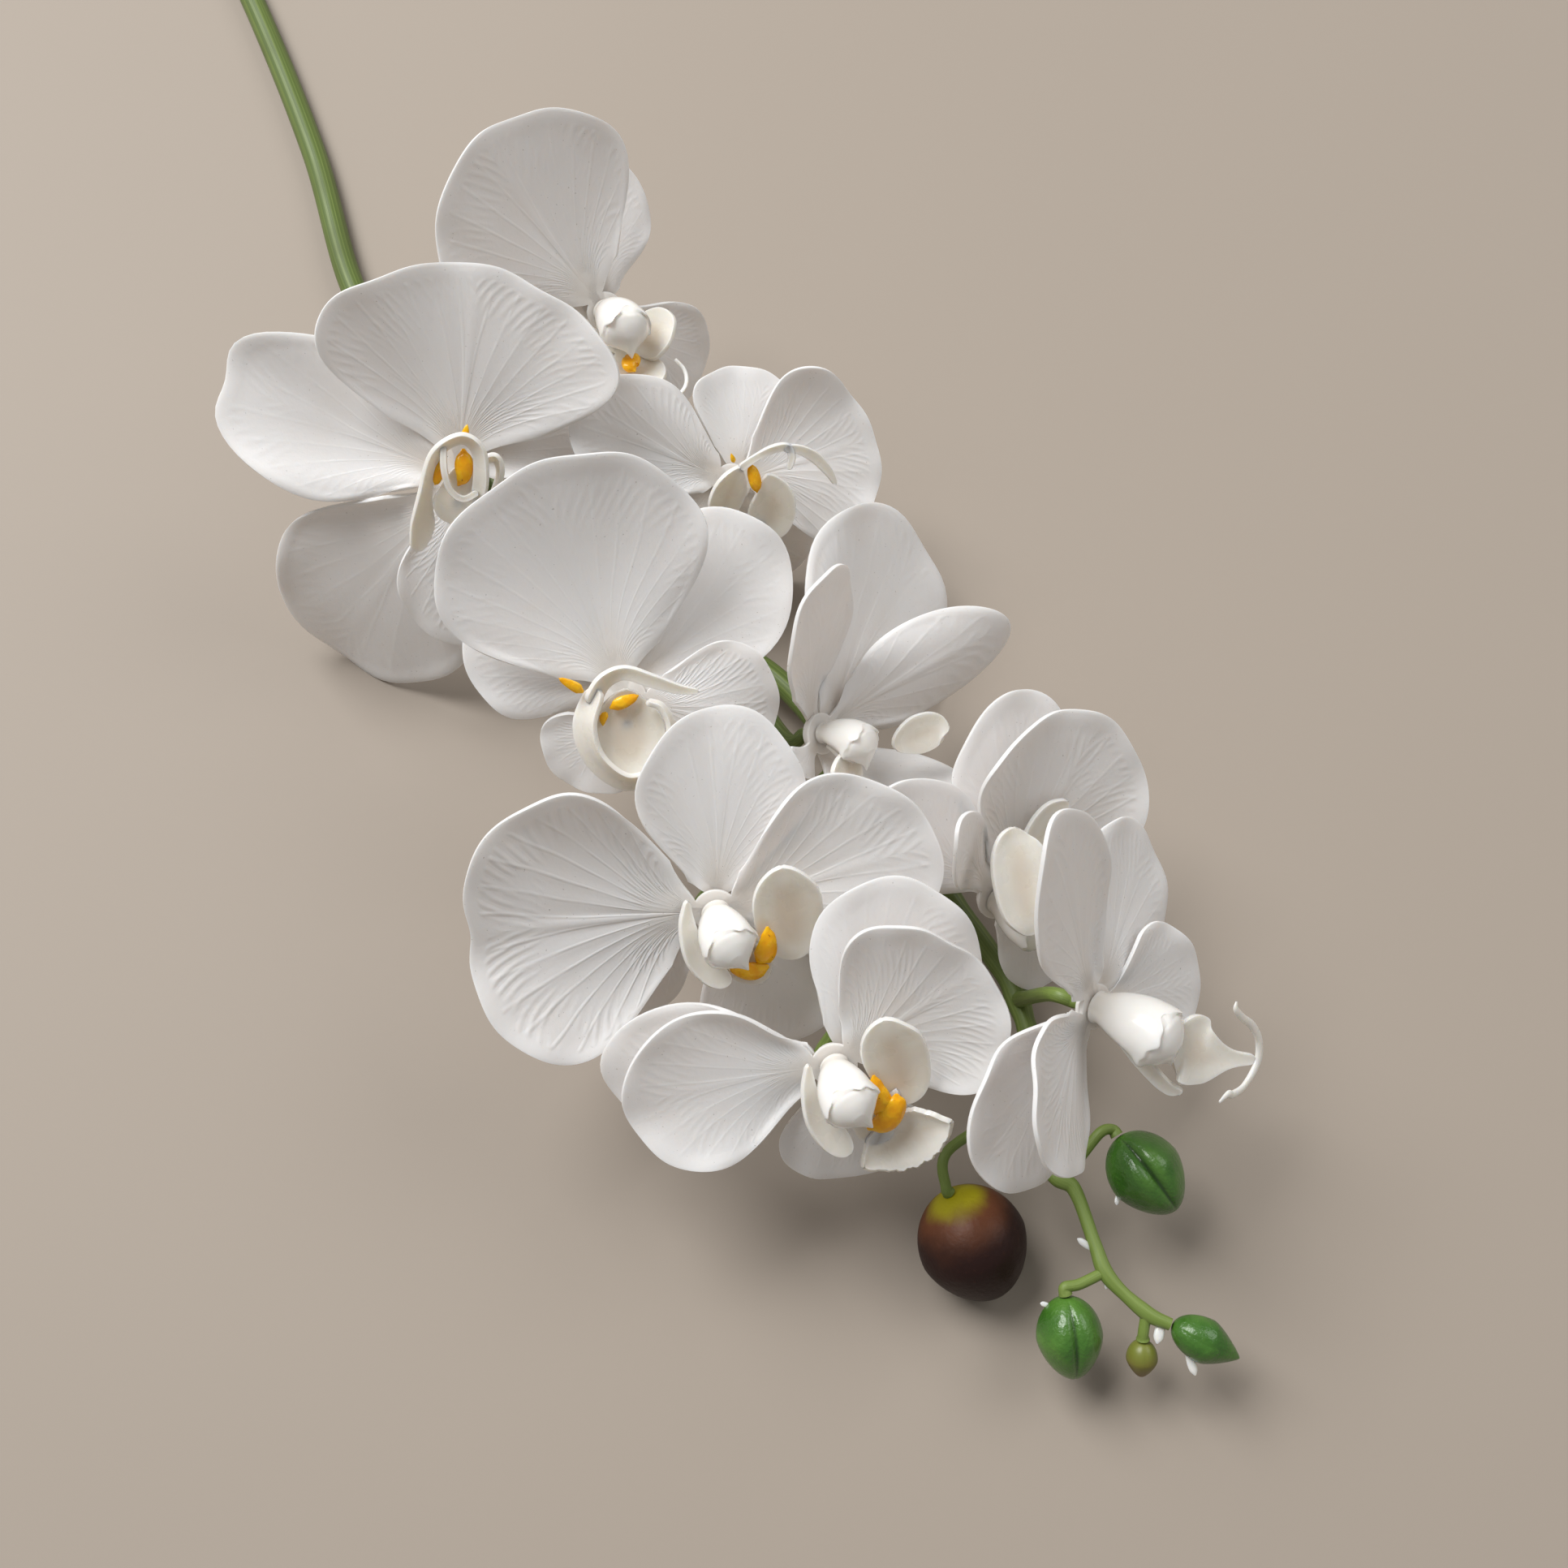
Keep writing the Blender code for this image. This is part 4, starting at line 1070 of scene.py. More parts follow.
def lobe_points(form, hub, along, ray, fine=True):
    """Points of a lobe in its sheet's frame: along from 0 at the hub to 1, ray in degrees."""
    angle = np.radians(ray)
    base = np.radians(ray * form["base"] / form["fan"])
    reach = lobe_reach(form, hub, ray)
    x = hub * np.cos(base) + along * reach * np.cos(angle)
    y = hub * np.sin(base) + along * reach * np.sin(angle)
    free = 1.0 - np.exp(-along * reach / SETTLE)
    gone = along * reach * np.cos(angle)
    narrow = (1.0 - np.exp(-gone)) * hill(gone, CLAW_REACH * form["length"])
    y = y * (1.0 - form["claw"] * narrow)

    run, out, rise, slope = spine(form, hub)
    past = np.maximum(x - hub * np.cos(base), 0.0)
    mid_out = hub * np.cos(base) + np.interp(past, run, out)
    mid_rise = np.interp(past, run, rise)
    mid_slope = np.interp(past, run, slope)

    side = y / (form["width"] / 2.0)
    cup = np.radians(np.where(y > 0.0, form["cup"][0], form["cup"][1])) * free
    turn = np.abs(side) * cup
    across = y * np.sinc(turn / (2.0 * np.pi)) * np.cos(turn / 2.0)
    lift = np.abs(y) * np.sinc(turn / (2.0 * np.pi)) * np.sin(turn / 2.0)
    if fine:
        lift = lift + free * relief(form, along, ray, edge_distance(form, hub, along, ray))
    roll = np.radians(form["roll"]) * free
    across, lift = (
        across * np.cos(roll) - lift * np.sin(roll),
        across * np.sin(roll) + lift * np.cos(roll),
    )

    x = mid_out - lift * np.sin(mid_slope)
    z = mid_rise + lift * np.cos(mid_slope)
    heading = math.radians(form["angle"])
    out_x = x * math.cos(heading) - across * math.sin(heading)
    out_y = x * math.sin(heading) + across * math.cos(heading)
    return np.stack([out_x, out_y, z], axis=-1)


def hub_arc(here, after, hub):
    """Points on the hub's rim across the open gap between two neighbouring lobes."""
    start = here["angle"] + here["base"]
    gap = (after["angle"] - after["base"] - start) % 360.0
    count = int(gap // RIM_STEP)
    turn = np.radians(start + gap * np.arange(1, count + 1) / (count + 1))
    return np.stack([hub * np.cos(turn), hub * np.sin(turn), 0.0 * turn], axis=-1)


def scaled(form, scale, strength=1.0):
    """The lobe at another size, with its relief made weaker or stronger."""
    return {
        **form,
        "length": form["length"] * scale,
        "width": form["width"] * scale,
        "relief": form["relief"] * strength,
    }


def sheet_parts(lobes, hub, grid):
    """Points, coordinates, margins, strengths of the relief and faces of an open sheet."""
    rings, rays = grid
    points = [np.zeros((1, 3))]
    coordinates = [np.zeros((1, 2))]
    margin = [np.full(1, hub)]
    strength = [np.zeros(1)]
    faces = []
    rim = []
    ordered = sorted(lobes, key=lambda item: item["angle"])
    for form, after in zip(ordered, ordered[1:] + ordered[:1]):
        first = sum(len(block) for block in points)
        along, ray = np.meshgrid(
            np.linspace(0.0, 1.0, rings + 1) ** RING_SPACING,
            np.linspace(-form["fan"], form["fan"], rays + 1),
            indexing="ij",
        )
        points.append(lobe_points(form, hub, along, ray).reshape(-1, 3))
        coordinates.append(np.stack([ray / MAP_DEGREES, along], axis=-1).reshape(-1, 2))
        margin.append(edge_distance(form, hub, along, ray).reshape(-1))
        strength.append(np.full(margin[-1].size, form["relief"]))
        index = first + np.arange((rings + 1) * (rays + 1)).reshape(rings + 1, rays + 1)
        for i in range(rings):
            for j in range(rays):
                faces.append((index[i, j], index[i + 1, j], index[i + 1, j + 1], index[i, j + 1]))
        arc = hub_arc(form, after, hub)
        points.append(arc)
        coordinates.append(np.zeros((len(arc), 2)))
        margin.append(np.zeros(len(arc)))
        strength.append(np.zeros(len(arc)))
        rim += list(index[0]) + list(first + index.size + np.arange(len(arc)))
    for here, after in zip(rim, rim[1:] + rim[:1]):
        faces.append((0, here, after))
    faces = [tuple(int(v) for v in face) for face in faces]
    blocks = (points, coordinates, margin, strength)
    return *(np.concatenate(block) for block in blocks), faces


def mesh_object(name, points, faces, coordinates=None, **values):
    """A mesh object with smooth faces, a UV map and named values where they are given."""
    mesh = bpy.data.meshes.new(name)
    mesh.from_pydata(points.tolist(), [], faces)
    if coordinates is not None:
        layer = mesh.uv_layers.new(name="Form")
        corners = np.empty(len(mesh.loops), np.int32)
        mesh.loops.foreach_get("vertex_index", corners)
        layer.uv.foreach_set("vector", coordinates[corners].astype(np.float32).ravel())
    for key, numbers in values.items():
        value = mesh.attributes.new(key, "FLOAT", "POINT")
        value.data.foreach_set("value", numbers.astype(np.float32))
    mesh.shade_smooth()
    mesh.update()
    piece = bpy.data.objects.new(name, mesh)
    bpy.context.scene.collection.objects.link(piece)
    return piece


def applied(piece):
    """Turns the piece's modifiers into its mesh and marks its sharp edges."""
    bpy.context.view_layer.update()
    graph = bpy.context.evaluated_depsgraph_get()
    mesh = bpy.data.meshes.new_from_object(piece.evaluated_get(graph))
    old = piece.data
    piece.modifiers.clear()
    piece.data = mesh
    bpy.data.meshes.remove(old)
    mesh.name = piece.name
    mesh.shade_smooth()
    mesh.set_sharp_from_angle(angle=math.radians(SHARP_SHEET))
    return piece


def thickened(piece, thickness):
    """The open surface given a thickness and slightly rounded cut edges."""
    solid = piece.modifiers.new("Thickness", "SOLIDIFY")
    solid.thickness = thickness
    solid.offset = 0.0
    edge = piece.modifiers.new("Edge", "BEVEL")
    edge.width = ROUND_WIDTH * MM
    edge.segments = 2
    edge.limit_method = "ANGLE"
    edge.angle_limit = math.radians(ROUND_ANGLE)
    return applied(piece)


def sheet(name, lobes, hub, grid, thickness, matrix):
    """A thin closed sheet with lobes that fan out from a round hub."""
    points, coordinates, margin, strength, faces = sheet_parts(lobes, hub, grid)
    piece = mesh_object(
        name, moved(points, matrix), faces, coordinates, margin=margin, relief=strength
    )
    return thickened(piece, thickness)


def band(name, rows, thickness, matrix, arch=BAND_ARCH, ragged=0.0):
    """A thin curled strip: rows of place, half width and how far its left edge is raised.

    arch lifts both edges and ragged makes them uneven, as shares of the half width.
    """
    path = smooth_path(rows, BAND_GRID[0])
    ahead = np.gradient(path[:, :3], axis=0)
    ahead = ahead / np.linalg.norm(ahead, axis=1, keepdims=True)
    left = np.cross((0.0, 0.0, 1.0), ahead)
    left = left / np.linalg.norm(left, axis=1, keepdims=True)
    lean = np.radians(path[:, 4:])
    across = np.cos(lean) * left + np.sin(lean) * np.array((0.0, 0.0, 1.0))
    upward = np.cross(ahead, across)
    step = np.linalg.norm(np.diff(path[:, :3], axis=0), axis=1)
    run = np.concatenate([[0.0], np.cumsum(step)])
    end = np.minimum(run, run[-1] - run)
    rounded = 1.0 - (1.0 - np.clip(end / path[:, 3], 0.0, 1.0)) ** 2
    half = path[:, 3] * np.sqrt(np.maximum(rounded, BAND_END))
    torn = sum(strength * np.sin(pace * run + shift) for strength, pace, shift in RAGGED)
    half = half * (1.0 + ragged * torn)
    share = np.linspace(1.0, -1.0, BAND_GRID[1] + 1)
    grid = path[:, None, :3] + (share[None, :] * half[:, None])[:, :, None] * across[:, None, :]
    grid = grid + (arch * half[:, None] * share[None, :] ** 2)[:, :, None] * upward[:, None, :]
    margin = np.minimum((1.0 - np.abs(share))[None, :] * half[:, None], end[:, None])
    place = np.broadcast_arrays(BAND_SHARE * share[None, :], (run / run[-1])[:, None])
    index = np.arange(margin.size).reshape(margin.shape)
    corners = (index[:-1, :-1], index[1:, :-1], index[1:, 1:], index[:-1, 1:])
    faces = list(zip(*(corner.ravel().tolist() for corner in corners)))
    points = moved(grid.reshape(-1, 3), matrix)
    place = np.stack(place, axis=-1).reshape(-1, 2)
    piece = mesh_object(name, points, faces, place, margin=margin.reshape(-1))
    return thickened(piece, thickness)


def gather(name, pieces):
    """Puts the meshes of several pieces into one piece, each still a closed form of its own."""
    bpy.context.view_layer.update()
    body = pieces[0]
    with bpy.context.temp_override(active_object=body, selected_editable_objects=pieces):
        bpy.ops.object.join()
    body.name = name
    body.data.name = name
    return body


def join(body, others):
    """Fuses the other pieces to the body with one Boolean union and removes them."""
    helpers = bpy.data.collections.new("helpers")
    bpy.context.scene.collection.children.link(helpers)
    for other in others:
        for home in list(other.users_collection):
            home.objects.unlink(other)
        helpers.objects.link(other)
    union = body.modifiers.new("Join", "BOOLEAN")
    union.operation = "UNION"
    union.operand_type = "COLLECTION"
    union.collection = helpers
    applied(body)
    for other in others:
        bpy.data.objects.remove(other)
    bpy.data.collections.remove(helpers)
    return body


def ring_frames(path):
    """Two unit vectors across a path at each of its points, carried along without twisting."""
    step = np.gradient(path, axis=0)
    step = step / np.linalg.norm(step, axis=1, keepdims=True)
    first = np.cross(step[0], (0.0, 0.0, 1.0))
    if np.linalg.norm(first) < UPRIGHT:
        first = np.cross(step[0], (0.0, 1.0, 0.0))
    sides = []
    for way in step:
        first = first - way * first.dot(way)
        first = first / np.linalg.norm(first)
        sides.append(first)
    sides = np.array(sides)
    return sides, np.cross(step, sides)


def loft(name, rings, matrix):
    """A closed form through rings of points, with a fan over each end."""
    rings = np.asarray(rings)
    count, around = rings.shape[:2]
    ends = np.stack([rings[0].mean(0), rings[-1].mean(0)])
    points = np.concatenate([rings.reshape(-1, 3), ends])
    turn, run = np.meshgrid(np.arange(around) / around, np.linspace(0, 1, count))
    coordinates = np.stack([turn.ravel(), run.ravel()], axis=-1)
    coordinates = np.concatenate([coordinates, [[0.5, 0.0], [0.5, 1.0]]])
    faces = []
    for i in range(count - 1):
        for j in range(around):
            after = (j + 1) % around
            here = i * around
            faces.append((here + j, here + after, here + around + after, here + around + j))
    last = (count - 1) * around
    for j in range(around):
        after = (j + 1) % around
        faces.append((count * around, after, j))
        faces.append((count * around + 1, last + j, last + after))
    piece = mesh_object(name, moved(points, matrix), faces, coordinates)
    shape = bmesh.new()
    shape.from_mesh(piece.data)
    bmesh.ops.recalc_face_normals(shape, faces=shape.faces)
    shape.to_mesh(piece.data)
    shape.free()
    piece.data.set_sharp_from_angle(angle=math.radians(SHARP_FORM))
    return piece


def tube(name, path, radii, around, matrix, flat=1.0):
    """A round or flattened tube along a path in millimetres, with this many sides."""
    path = np.asarray(path, float)
    radii = np.asarray(radii, float)
    side, up = ring_frames(path)
    turn = np.linspace(0.0, 2.0 * math.pi, around, endpoint=False)
    rings = (
        path[:, None, :]
        + radii[:, None, None] * np.cos(turn)[None, :, None] * side[:, None, :]
        + flat * radii[:, None, None] * np.sin(turn)[None, :, None] * up[:, None, :]
    )
    return loft(name, rings, matrix)


def finish_piece(piece, slot, *nodes):
    """Lays the piece on the table, gives it its finish and stands it in for its nodes."""
    places = np.empty(len(piece.data.vertices) * 3, np.float32)
    piece.data.vertices.foreach_get("co", places)
    places[2::3] = np.maximum(places[2::3], 0.0)
    piece.data.vertices.foreach_set("co", places)
    piece.data.update()
    piece.data.materials.clear()
    piece.data.materials.append(bpy.data.materials[slot])
    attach(piece, BODY)
    if nodes:
        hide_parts(*nodes)
    return piece


def add_node(tree, kind, inputs=(), **settings):
    """A shader node with settings and inputs, each a value or another node's output."""
    node = tree.nodes.new("ShaderNode" + kind)
    for name, value in settings.items():
        setattr(node, name, value)
    for key, value in dict(inputs).items():
        if isinstance(value, bpy.types.NodeSocket):
            tree.links.new(value, node.inputs[key])
        else:
            node.inputs[key].default_value = value
    return node


def calculate(tree, operation, *values):
    """The output of a Math node."""
    return add_node(tree, "Math", enumerate(values), operation=operation).outputs[0]


def fade(tree, value, start, end, low=0.0, high=1.0):
    """The output of a smooth Map Range node from start to end."""
    inputs = {"Value": value, "From Min": start, "From Max": end, "To Min": low, "To Max": high}
    return add_node(tree, "MapRange", inputs, interpolation_type="SMOOTHSTEP").outputs["Result"]


def form_parts(tree):
    """Outputs of a piece's own map: X across or round it, and Y along it from 0 to 1."""
    place = add_node(tree, "UVMap", uv_map="Form").outputs["UV"]
    return add_node(tree, "SeparateXYZ", {"Vector": place}).outputs


def mix(tree, factor, first, second):
    """The output of a colour Mix node."""
    node = add_node(tree, "Mix", data_type="RGBA")
    for socket, value in ((node.inputs[0], factor), (node.inputs[6], first), (node.inputs[7], second)):
        if isinstance(value, bpy.types.NodeSocket):
            tree.links.new(value, socket)
        elif socket.type == "RGBA":
            socket.default_value = (*value, 1.0)
        else:
            socket.default_value = value
    return node.outputs[2]


def new_group(name, inputs, outputs):
    """An empty shader node group with its sockets: (kind, name, default) each."""
    group = bpy.data.node_groups.new(name, "ShaderNodeTree")
    for way, sockets in (("INPUT", inputs), ("OUTPUT", outputs)):
        for kind, label, default in sockets:
            socket = group.interface.new_socket(
                name=label, in_out=way, socket_type="NodeSocket" + kind
            )
            if default is not None:
                socket.default_value = default
    entry = group.nodes.new("NodeGroupInput")
    result = group.nodes.new("NodeGroupOutput")
    return group, entry, result


def use_group(tree, group, **values):
    """The group placed in a material, its inputs set by name."""
    node = tree.nodes.new("ShaderNodeGroup")
    node.node_tree = group
    for key, value in values.items():
        socket = node.inputs[key.replace("_", " ").capitalize()]
        if isinstance(value, bpy.types.NodeSocket):
            tree.links.new(value, socket)
        else:
            socket.default_value = value
    return node


def build_mottle_group():
    """Soft uneven patches over a surface."""
    group, entry, result = new_group(
        "Soft mottle",
        [("Float", "Scale", 60.0), ("Float", "Contrast", 1.0), ("Float", "Detail", 3.0)],
        [("Float", "Value", None)],
    )
    place = add_node(group, "TexCoord").outputs["Object"]
    noise = add_node(
        group,
        "TexNoise",
        {"Vector": place, "Scale": entry.outputs["Scale"], "Detail": entry.outputs["Detail"]},
    )
    centred = calculate(group, "SUBTRACT", noise.outputs["Fac"], 0.5)
    value = calculate(group, "MULTIPLY_ADD", centred, entry.outputs["Contrast"], 0.5)
    group.links.new(value, result.inputs["Value"])
    return group


def build_vein_group():
    """Raised veins of a lobe: lines that fan out from its hub and lean towards its sides."""
    group, entry, result = new_group(
        "Fan veins",
        [
            ("Float", "Spacing", VEIN_SPACING),
            ("Float", "Lean", VEIN_LEAN),
            ("Float", "Width", 0.2),
            ("Float", "Wander", 2.0),
            ("Float", "Patches", 0.5),
            ("Float", "Scale", 60.0),
        ],
        [("Float", "Height", None)],
    )
    parts = form_parts(group)
    ray = calculate(group, "MULTIPLY", calculate(group, "ABSOLUTE", parts["X"]), MAP_DEGREES)
    lean = calculate(group, "MULTIPLY", parts["Y"], entry.outputs["Lean"])
    ray = calculate(group, "SUBTRACT", ray, lean)
    place = add_node(group, "TexCoord").outputs["Object"]
    inputs = {"Vector": place, "Scale": entry.outputs["Scale"], "Detail": 1.5}
    shift = calculate(group, "SUBTRACT", add_node(group, "TexNoise", inputs).outputs["Fac"], 0.5)
    ray = calculate(group, "MULTIPLY_ADD", shift, entry.outputs["Wander"], ray)
    label = calculate(group, "DIVIDE", ray, entry.outputs["Spacing"])
    near = calculate(group, "PINGPONG", label, 0.5)
    line = fade(group, near, 0.0, entry.outputs["Width"], 1.0, 0.0)
    wide = calculate(group, "MULTIPLY", entry.outputs["Scale"], 1.7)
    patch = add_node(group, "TexNoise", {"Vector": place, "Scale": wide, "Detail": 2.0}).outputs["Fac"]
    weak = calculate(group, "SUBTRACT", 1.0, fade(group, patch, 0.38, 0.6))
    weak = calculate(group, "MULTIPLY", weak, entry.outputs["Patches"])
    line = calculate(group, "MULTIPLY", line, calculate(group, "SUBTRACT", 1.0, weak))
    group.links.new(line, result.inputs["Height"])
    return group


def build_edge_group():
    """How much a place belongs to the margin of a sheet: 1 nearer than Start, 0 beyond End."""
    group, entry, result = new_group(
        "Margin", [("Float", "Start", 0.4), ("Float", "End", 1.0)], [("Float", "Mask", None)]
    )
    value = add_node(group, "Attribute", attribute_name="margin").outputs["Fac"]
    mask = fade(group, value, entry.outputs["Start"], entry.outputs["End"], 1.0, 0.0)
    group.links.new(mask, result.inputs["Mask"])
    return group


def build_groups():
    """The effects that the finishes share."""
    return {
        "mottle": build_mottle_group(),
        "veins": build_vein_group(),
        "edge": build_edge_group(),
    }


def patches(tree, groups, scale, contrast, detail):
    """Soft mottle placed in a material, as values round a half."""
    made = use_group(tree, groups["mottle"], scale=scale, contrast=contrast, detail=detail)
    return made.outputs["Value"]


def margin_mask(tree, groups, start, end):
    """A sheet's margin in a material: 1 nearer to the edge than start, 0 beyond end, in millimetres."""
    return use_group(tree, groups["edge"], start=start, end=end).outputs["Mask"]


def new_material(name):
    """A material's node tree with its shader and its output, and nothing else."""
    made = bpy.data.materials.get(name) or bpy.data.materials.new(name)
    made.use_nodes = True
    tree = made.node_tree
    shader = next(node for node in tree.nodes if node.type == "BSDF_PRINCIPLED")
    for node in list(tree.nodes):
        if node.type not in {"BSDF_PRINCIPLED", "OUTPUT_MATERIAL"}:
            tree.nodes.remove(node)
    return tree, shader


def add_bump(tree, shader, height, strength, distance):
    """Fine relief for the shader: how strong it is, and how high a value of 1 is, in metres."""
    bump = add_node(tree, "Bump", {"Height": height, "Strength": strength, "Distance": distance})
    tree.links.new(bump.outputs["Normal"], shader.inputs["Normal"])


def soften(shader, weight, *radius):
    """Lets light into a thin waxy piece, this many millimetres deep in red, green and blue."""
    shader.inputs["Subsurface Weight"].default_value = weight
    shader.inputs["Subsurface Radius"].default_value = [depth * MM for depth in radius]
    shader.inputs["Subsurface Scale"].default_value = 1.0


def coat(shader, weight, roughness):
    """A thin clear coat over a waxy piece."""
    shader.inputs["Coat Weight"].default_value = weight
    shader.inputs["Coat Roughness"].default_value = roughness


def paint(tree, shader, colour, unevenness, glossy, dull):
    """Gives a finish its colour, and a roughness that follows its unevenness."""
    tree.links.new(colour, shader.inputs["Base Color"])
    tree.links.new(fade(tree, unevenness, 0.2, 0.8, glossy, dull), shader.inputs["Roughness"])


def build_petal_material(settings, groups):
    """White foam petals: raised veins, wrinkles near the margin and a smooth rolled rim, with highlights
    painted on the veins, rim and cut edge and shade painted towards the hub.
    """
    tree, shader = new_material("petal_white")
    along = form_parts(tree)["Y"]
    veins = use_group(
        tree, groups["veins"], spacing=VEIN_SPACING, lean=VEIN_LEAN, width=0.13, wander=3.0, patches=0.6
    )
    wrinkles = use_group(
        tree, groups["veins"], spacing=3.2, lean=30.0, width=0.42, wander=6.0, patches=1.0, scale=70.0
    )
    mottle = patches(tree, groups, scale=70.0, contrast=0.8, detail=3.0)
    specks = patches(tree, groups, scale=1900.0, contrast=1.5, detail=1.0)
    edge = margin_mask(tree, groups, start=0.1, end=0.6)
    rim = margin_mask(tree, groups, start=2.3, end=3.6)
    outer = margin_mask(tree, groups, start=8.0, end=17.0)

    inside = calculate(tree, "SUBTRACT", 1.0, rim)
    lines = calculate(tree, "MULTIPLY", veins.outputs["Height"], fade(tree, along, 0.08, 0.3))
    lines = calculate(tree, "MULTIPLY", lines, inside)
    near_edge = calculate(tree, "MULTIPLY", outer, inside)
    folds = calculate(tree, "MULTIPLY", wrinkles.outputs["Height"], near_edge)

    # Painted shade with a cream tint: darker and creamier towards the hub
    blade = mix(tree, fade(tree, along, 0.0, 0.35), settings.throat_tint_and_shade, settings.petal_colour)
    blade = mix(tree, fade(tree, mottle, 0.4, 0.75, 0.0, 0.3), blade, settings.throat_tint_and_shade)
    # Painted highlight: paler raised veins, rolled rim and cut edge
    pale = calculate(tree, "MULTIPLY", lines, 0.12)
    pale = calculate(tree, "MAXIMUM", pale, calculate(tree, "MULTIPLY", edge, 0.35))
    pale = calculate(tree, "MAXIMUM", pale, calculate(tree, "MULTIPLY", rim, 0.08))
    blade = mix(tree, pale, blade, settings.highlight_colour)
    blade = mix(tree, fade(tree, specks, 0.86, 0.95, 0.0, 0.5), blade, PETAL_SPECK)
    paint(tree, shader, blade, mottle, 0.4, 0.58)

    strength = add_node(tree, "Attribute", attribute_name="relief").outputs["Fac"]
    height = calculate(tree, "MULTIPLY", lines, 0.05)
    height = calculate(tree, "MULTIPLY_ADD", folds, 0.065, height)
    height = calculate(tree, "MULTIPLY", height, strength)
    grain = patches(tree, groups, scale=1100.0, contrast=1.0, detail=2.0)
    height = calculate(tree, "MULTIPLY_ADD", grain, 0.03, height)
    add_bump(tree, shader, height, 1.0, MM)
    soften(shader, 0.38, 3.4, 2.6, 2.1)
    shader.inputs["Specular IOR Level"].default_value = 0.4


def build_column_material(settings, groups):
    """The glossy white column."""
    tree, shader = new_material("column_white")
    mottle = patches(tree, groups, scale=140.0, contrast=1.0, detail=2.0)
    along = form_parts(tree)["Y"]
    colour = mix(tree, fade(tree, along, 0.0, 0.3), settings.lip_colour, settings.column_colour)
    colour = mix(tree, calculate(tree, "MULTIPLY", mottle, 0.1), colour, settings.throat_tint_and_shade)
    paint(tree, shader, colour, mottle, 0.14, 0.26)
    add_bump(tree, shader, mottle, 0.6, 0.4 * MM)
    soften(shader, 0.35, 3.0, 2.4, 1.8)
    coat(shader, 0.3, 0.1)


def build_lip_material(settings, groups):
    """The cream lip: a little clear, with a highlight painted along its edges."""
    tree, shader = new_material("lip_cream")
    along = form_parts(tree)["Y"]
    mottle = patches(tree, groups, scale=190.0, contrast=1.2, detail=3.0)
    edge = margin_mask(tree, groups, start=0.1, end=0.7)
    deep = margin_mask(tree, groups, start=2.0, end=6.0)
    colour = mix(tree, deep, settings.lip_deep, settings.lip_colour)
    colour = mix(tree, fade(tree, along, 0.0, 0.15, 0.4, 0.0), colour, settings.lip_deep)
    colour = mix(tree, fade(tree, mottle, 0.4, 0.9, 0.0, 0.3), colour, settings.throat_tint_and_shade)
    # Painted highlight: paler edges of the lip
    colour = mix(tree, calculate(tree, "MULTIPLY", edge, 0.25), colour, settings.highlight_colour)
    paint(tree, shader, colour, mottle, 0.22, 0.38)
    add_bump(tree, shader, mottle, 1.0, 0.15 * MM)
    soften(shader, 0.45, 3.0, 2.2, 1.4)
    coat(shader, 0.2, 0.15)


def build_callus_material(settings, groups):
    """The orange-yellow crest with brown specks."""
    tree, shader = new_material("callus_yellow")
    speckle = patches(tree, groups, scale=1300.0, contrast=1.6, detail=2.0)
    broad = patches(tree, groups, scale=350.0, contrast=1.4, detail=2.0)
    colour = mix(tree, fade(tree, broad, 0.3, 0.8), settings.callus_colour, CREST_LIGHT)
    colour = mix(tree, fade(tree, speckle, 0.8, 0.9), colour, CREST_SPECK)
    paint(tree, shader, colour, broad, 0.16, 0.32)
    add_bump(tree, shader, broad, 1.0, 0.4 * MM)
    soften(shader, 0.2, 3.0, 1.5, 0.3)


def build_stem_material(settings, groups):
    """The green stem with fine lengthwise lines."""
    tree, shader = new_material("stem_green")
    place = add_node(tree, "UVMap", uv_map="Form").outputs["UV"]
    stretched = add_node(tree, "Mapping", {"Vector": place, "Scale": STEM_LINES}).outputs["Vector"]
    lines = add_node(tree, "TexNoise", {"Vector": stretched, "Scale": 1.0, "Detail": 3.0}).outputs["Fac"]
    mottle = patches(tree, groups, scale=45.0, contrast=1.2, detail=3.0)
    colour = mix(tree, fade(tree, lines, 0.4, 0.7), settings.stem_colour, settings.tip_colour)
    colour = mix(tree, fade(tree, mottle, 0.45, 0.95, 0.0, 0.5), colour, STEM_SHADE)
    whole = add_node(tree, "TexCoord").outputs["Object"]
    reach = add_node(tree, "SeparateXYZ", {"Vector": whole}).outputs["X"]
    colour = mix(tree, fade(tree, reach, *YOUNG_FROM, 0.0, 0.65), colour, settings.young_colour)
    paint(tree, shader, colour, mottle, 0.38, 0.55)
    add_bump(tree, shader, lines, 0.4, 0.3 * MM)
    soften(shader, 0.05, 1.0, 1.0, 0.5)


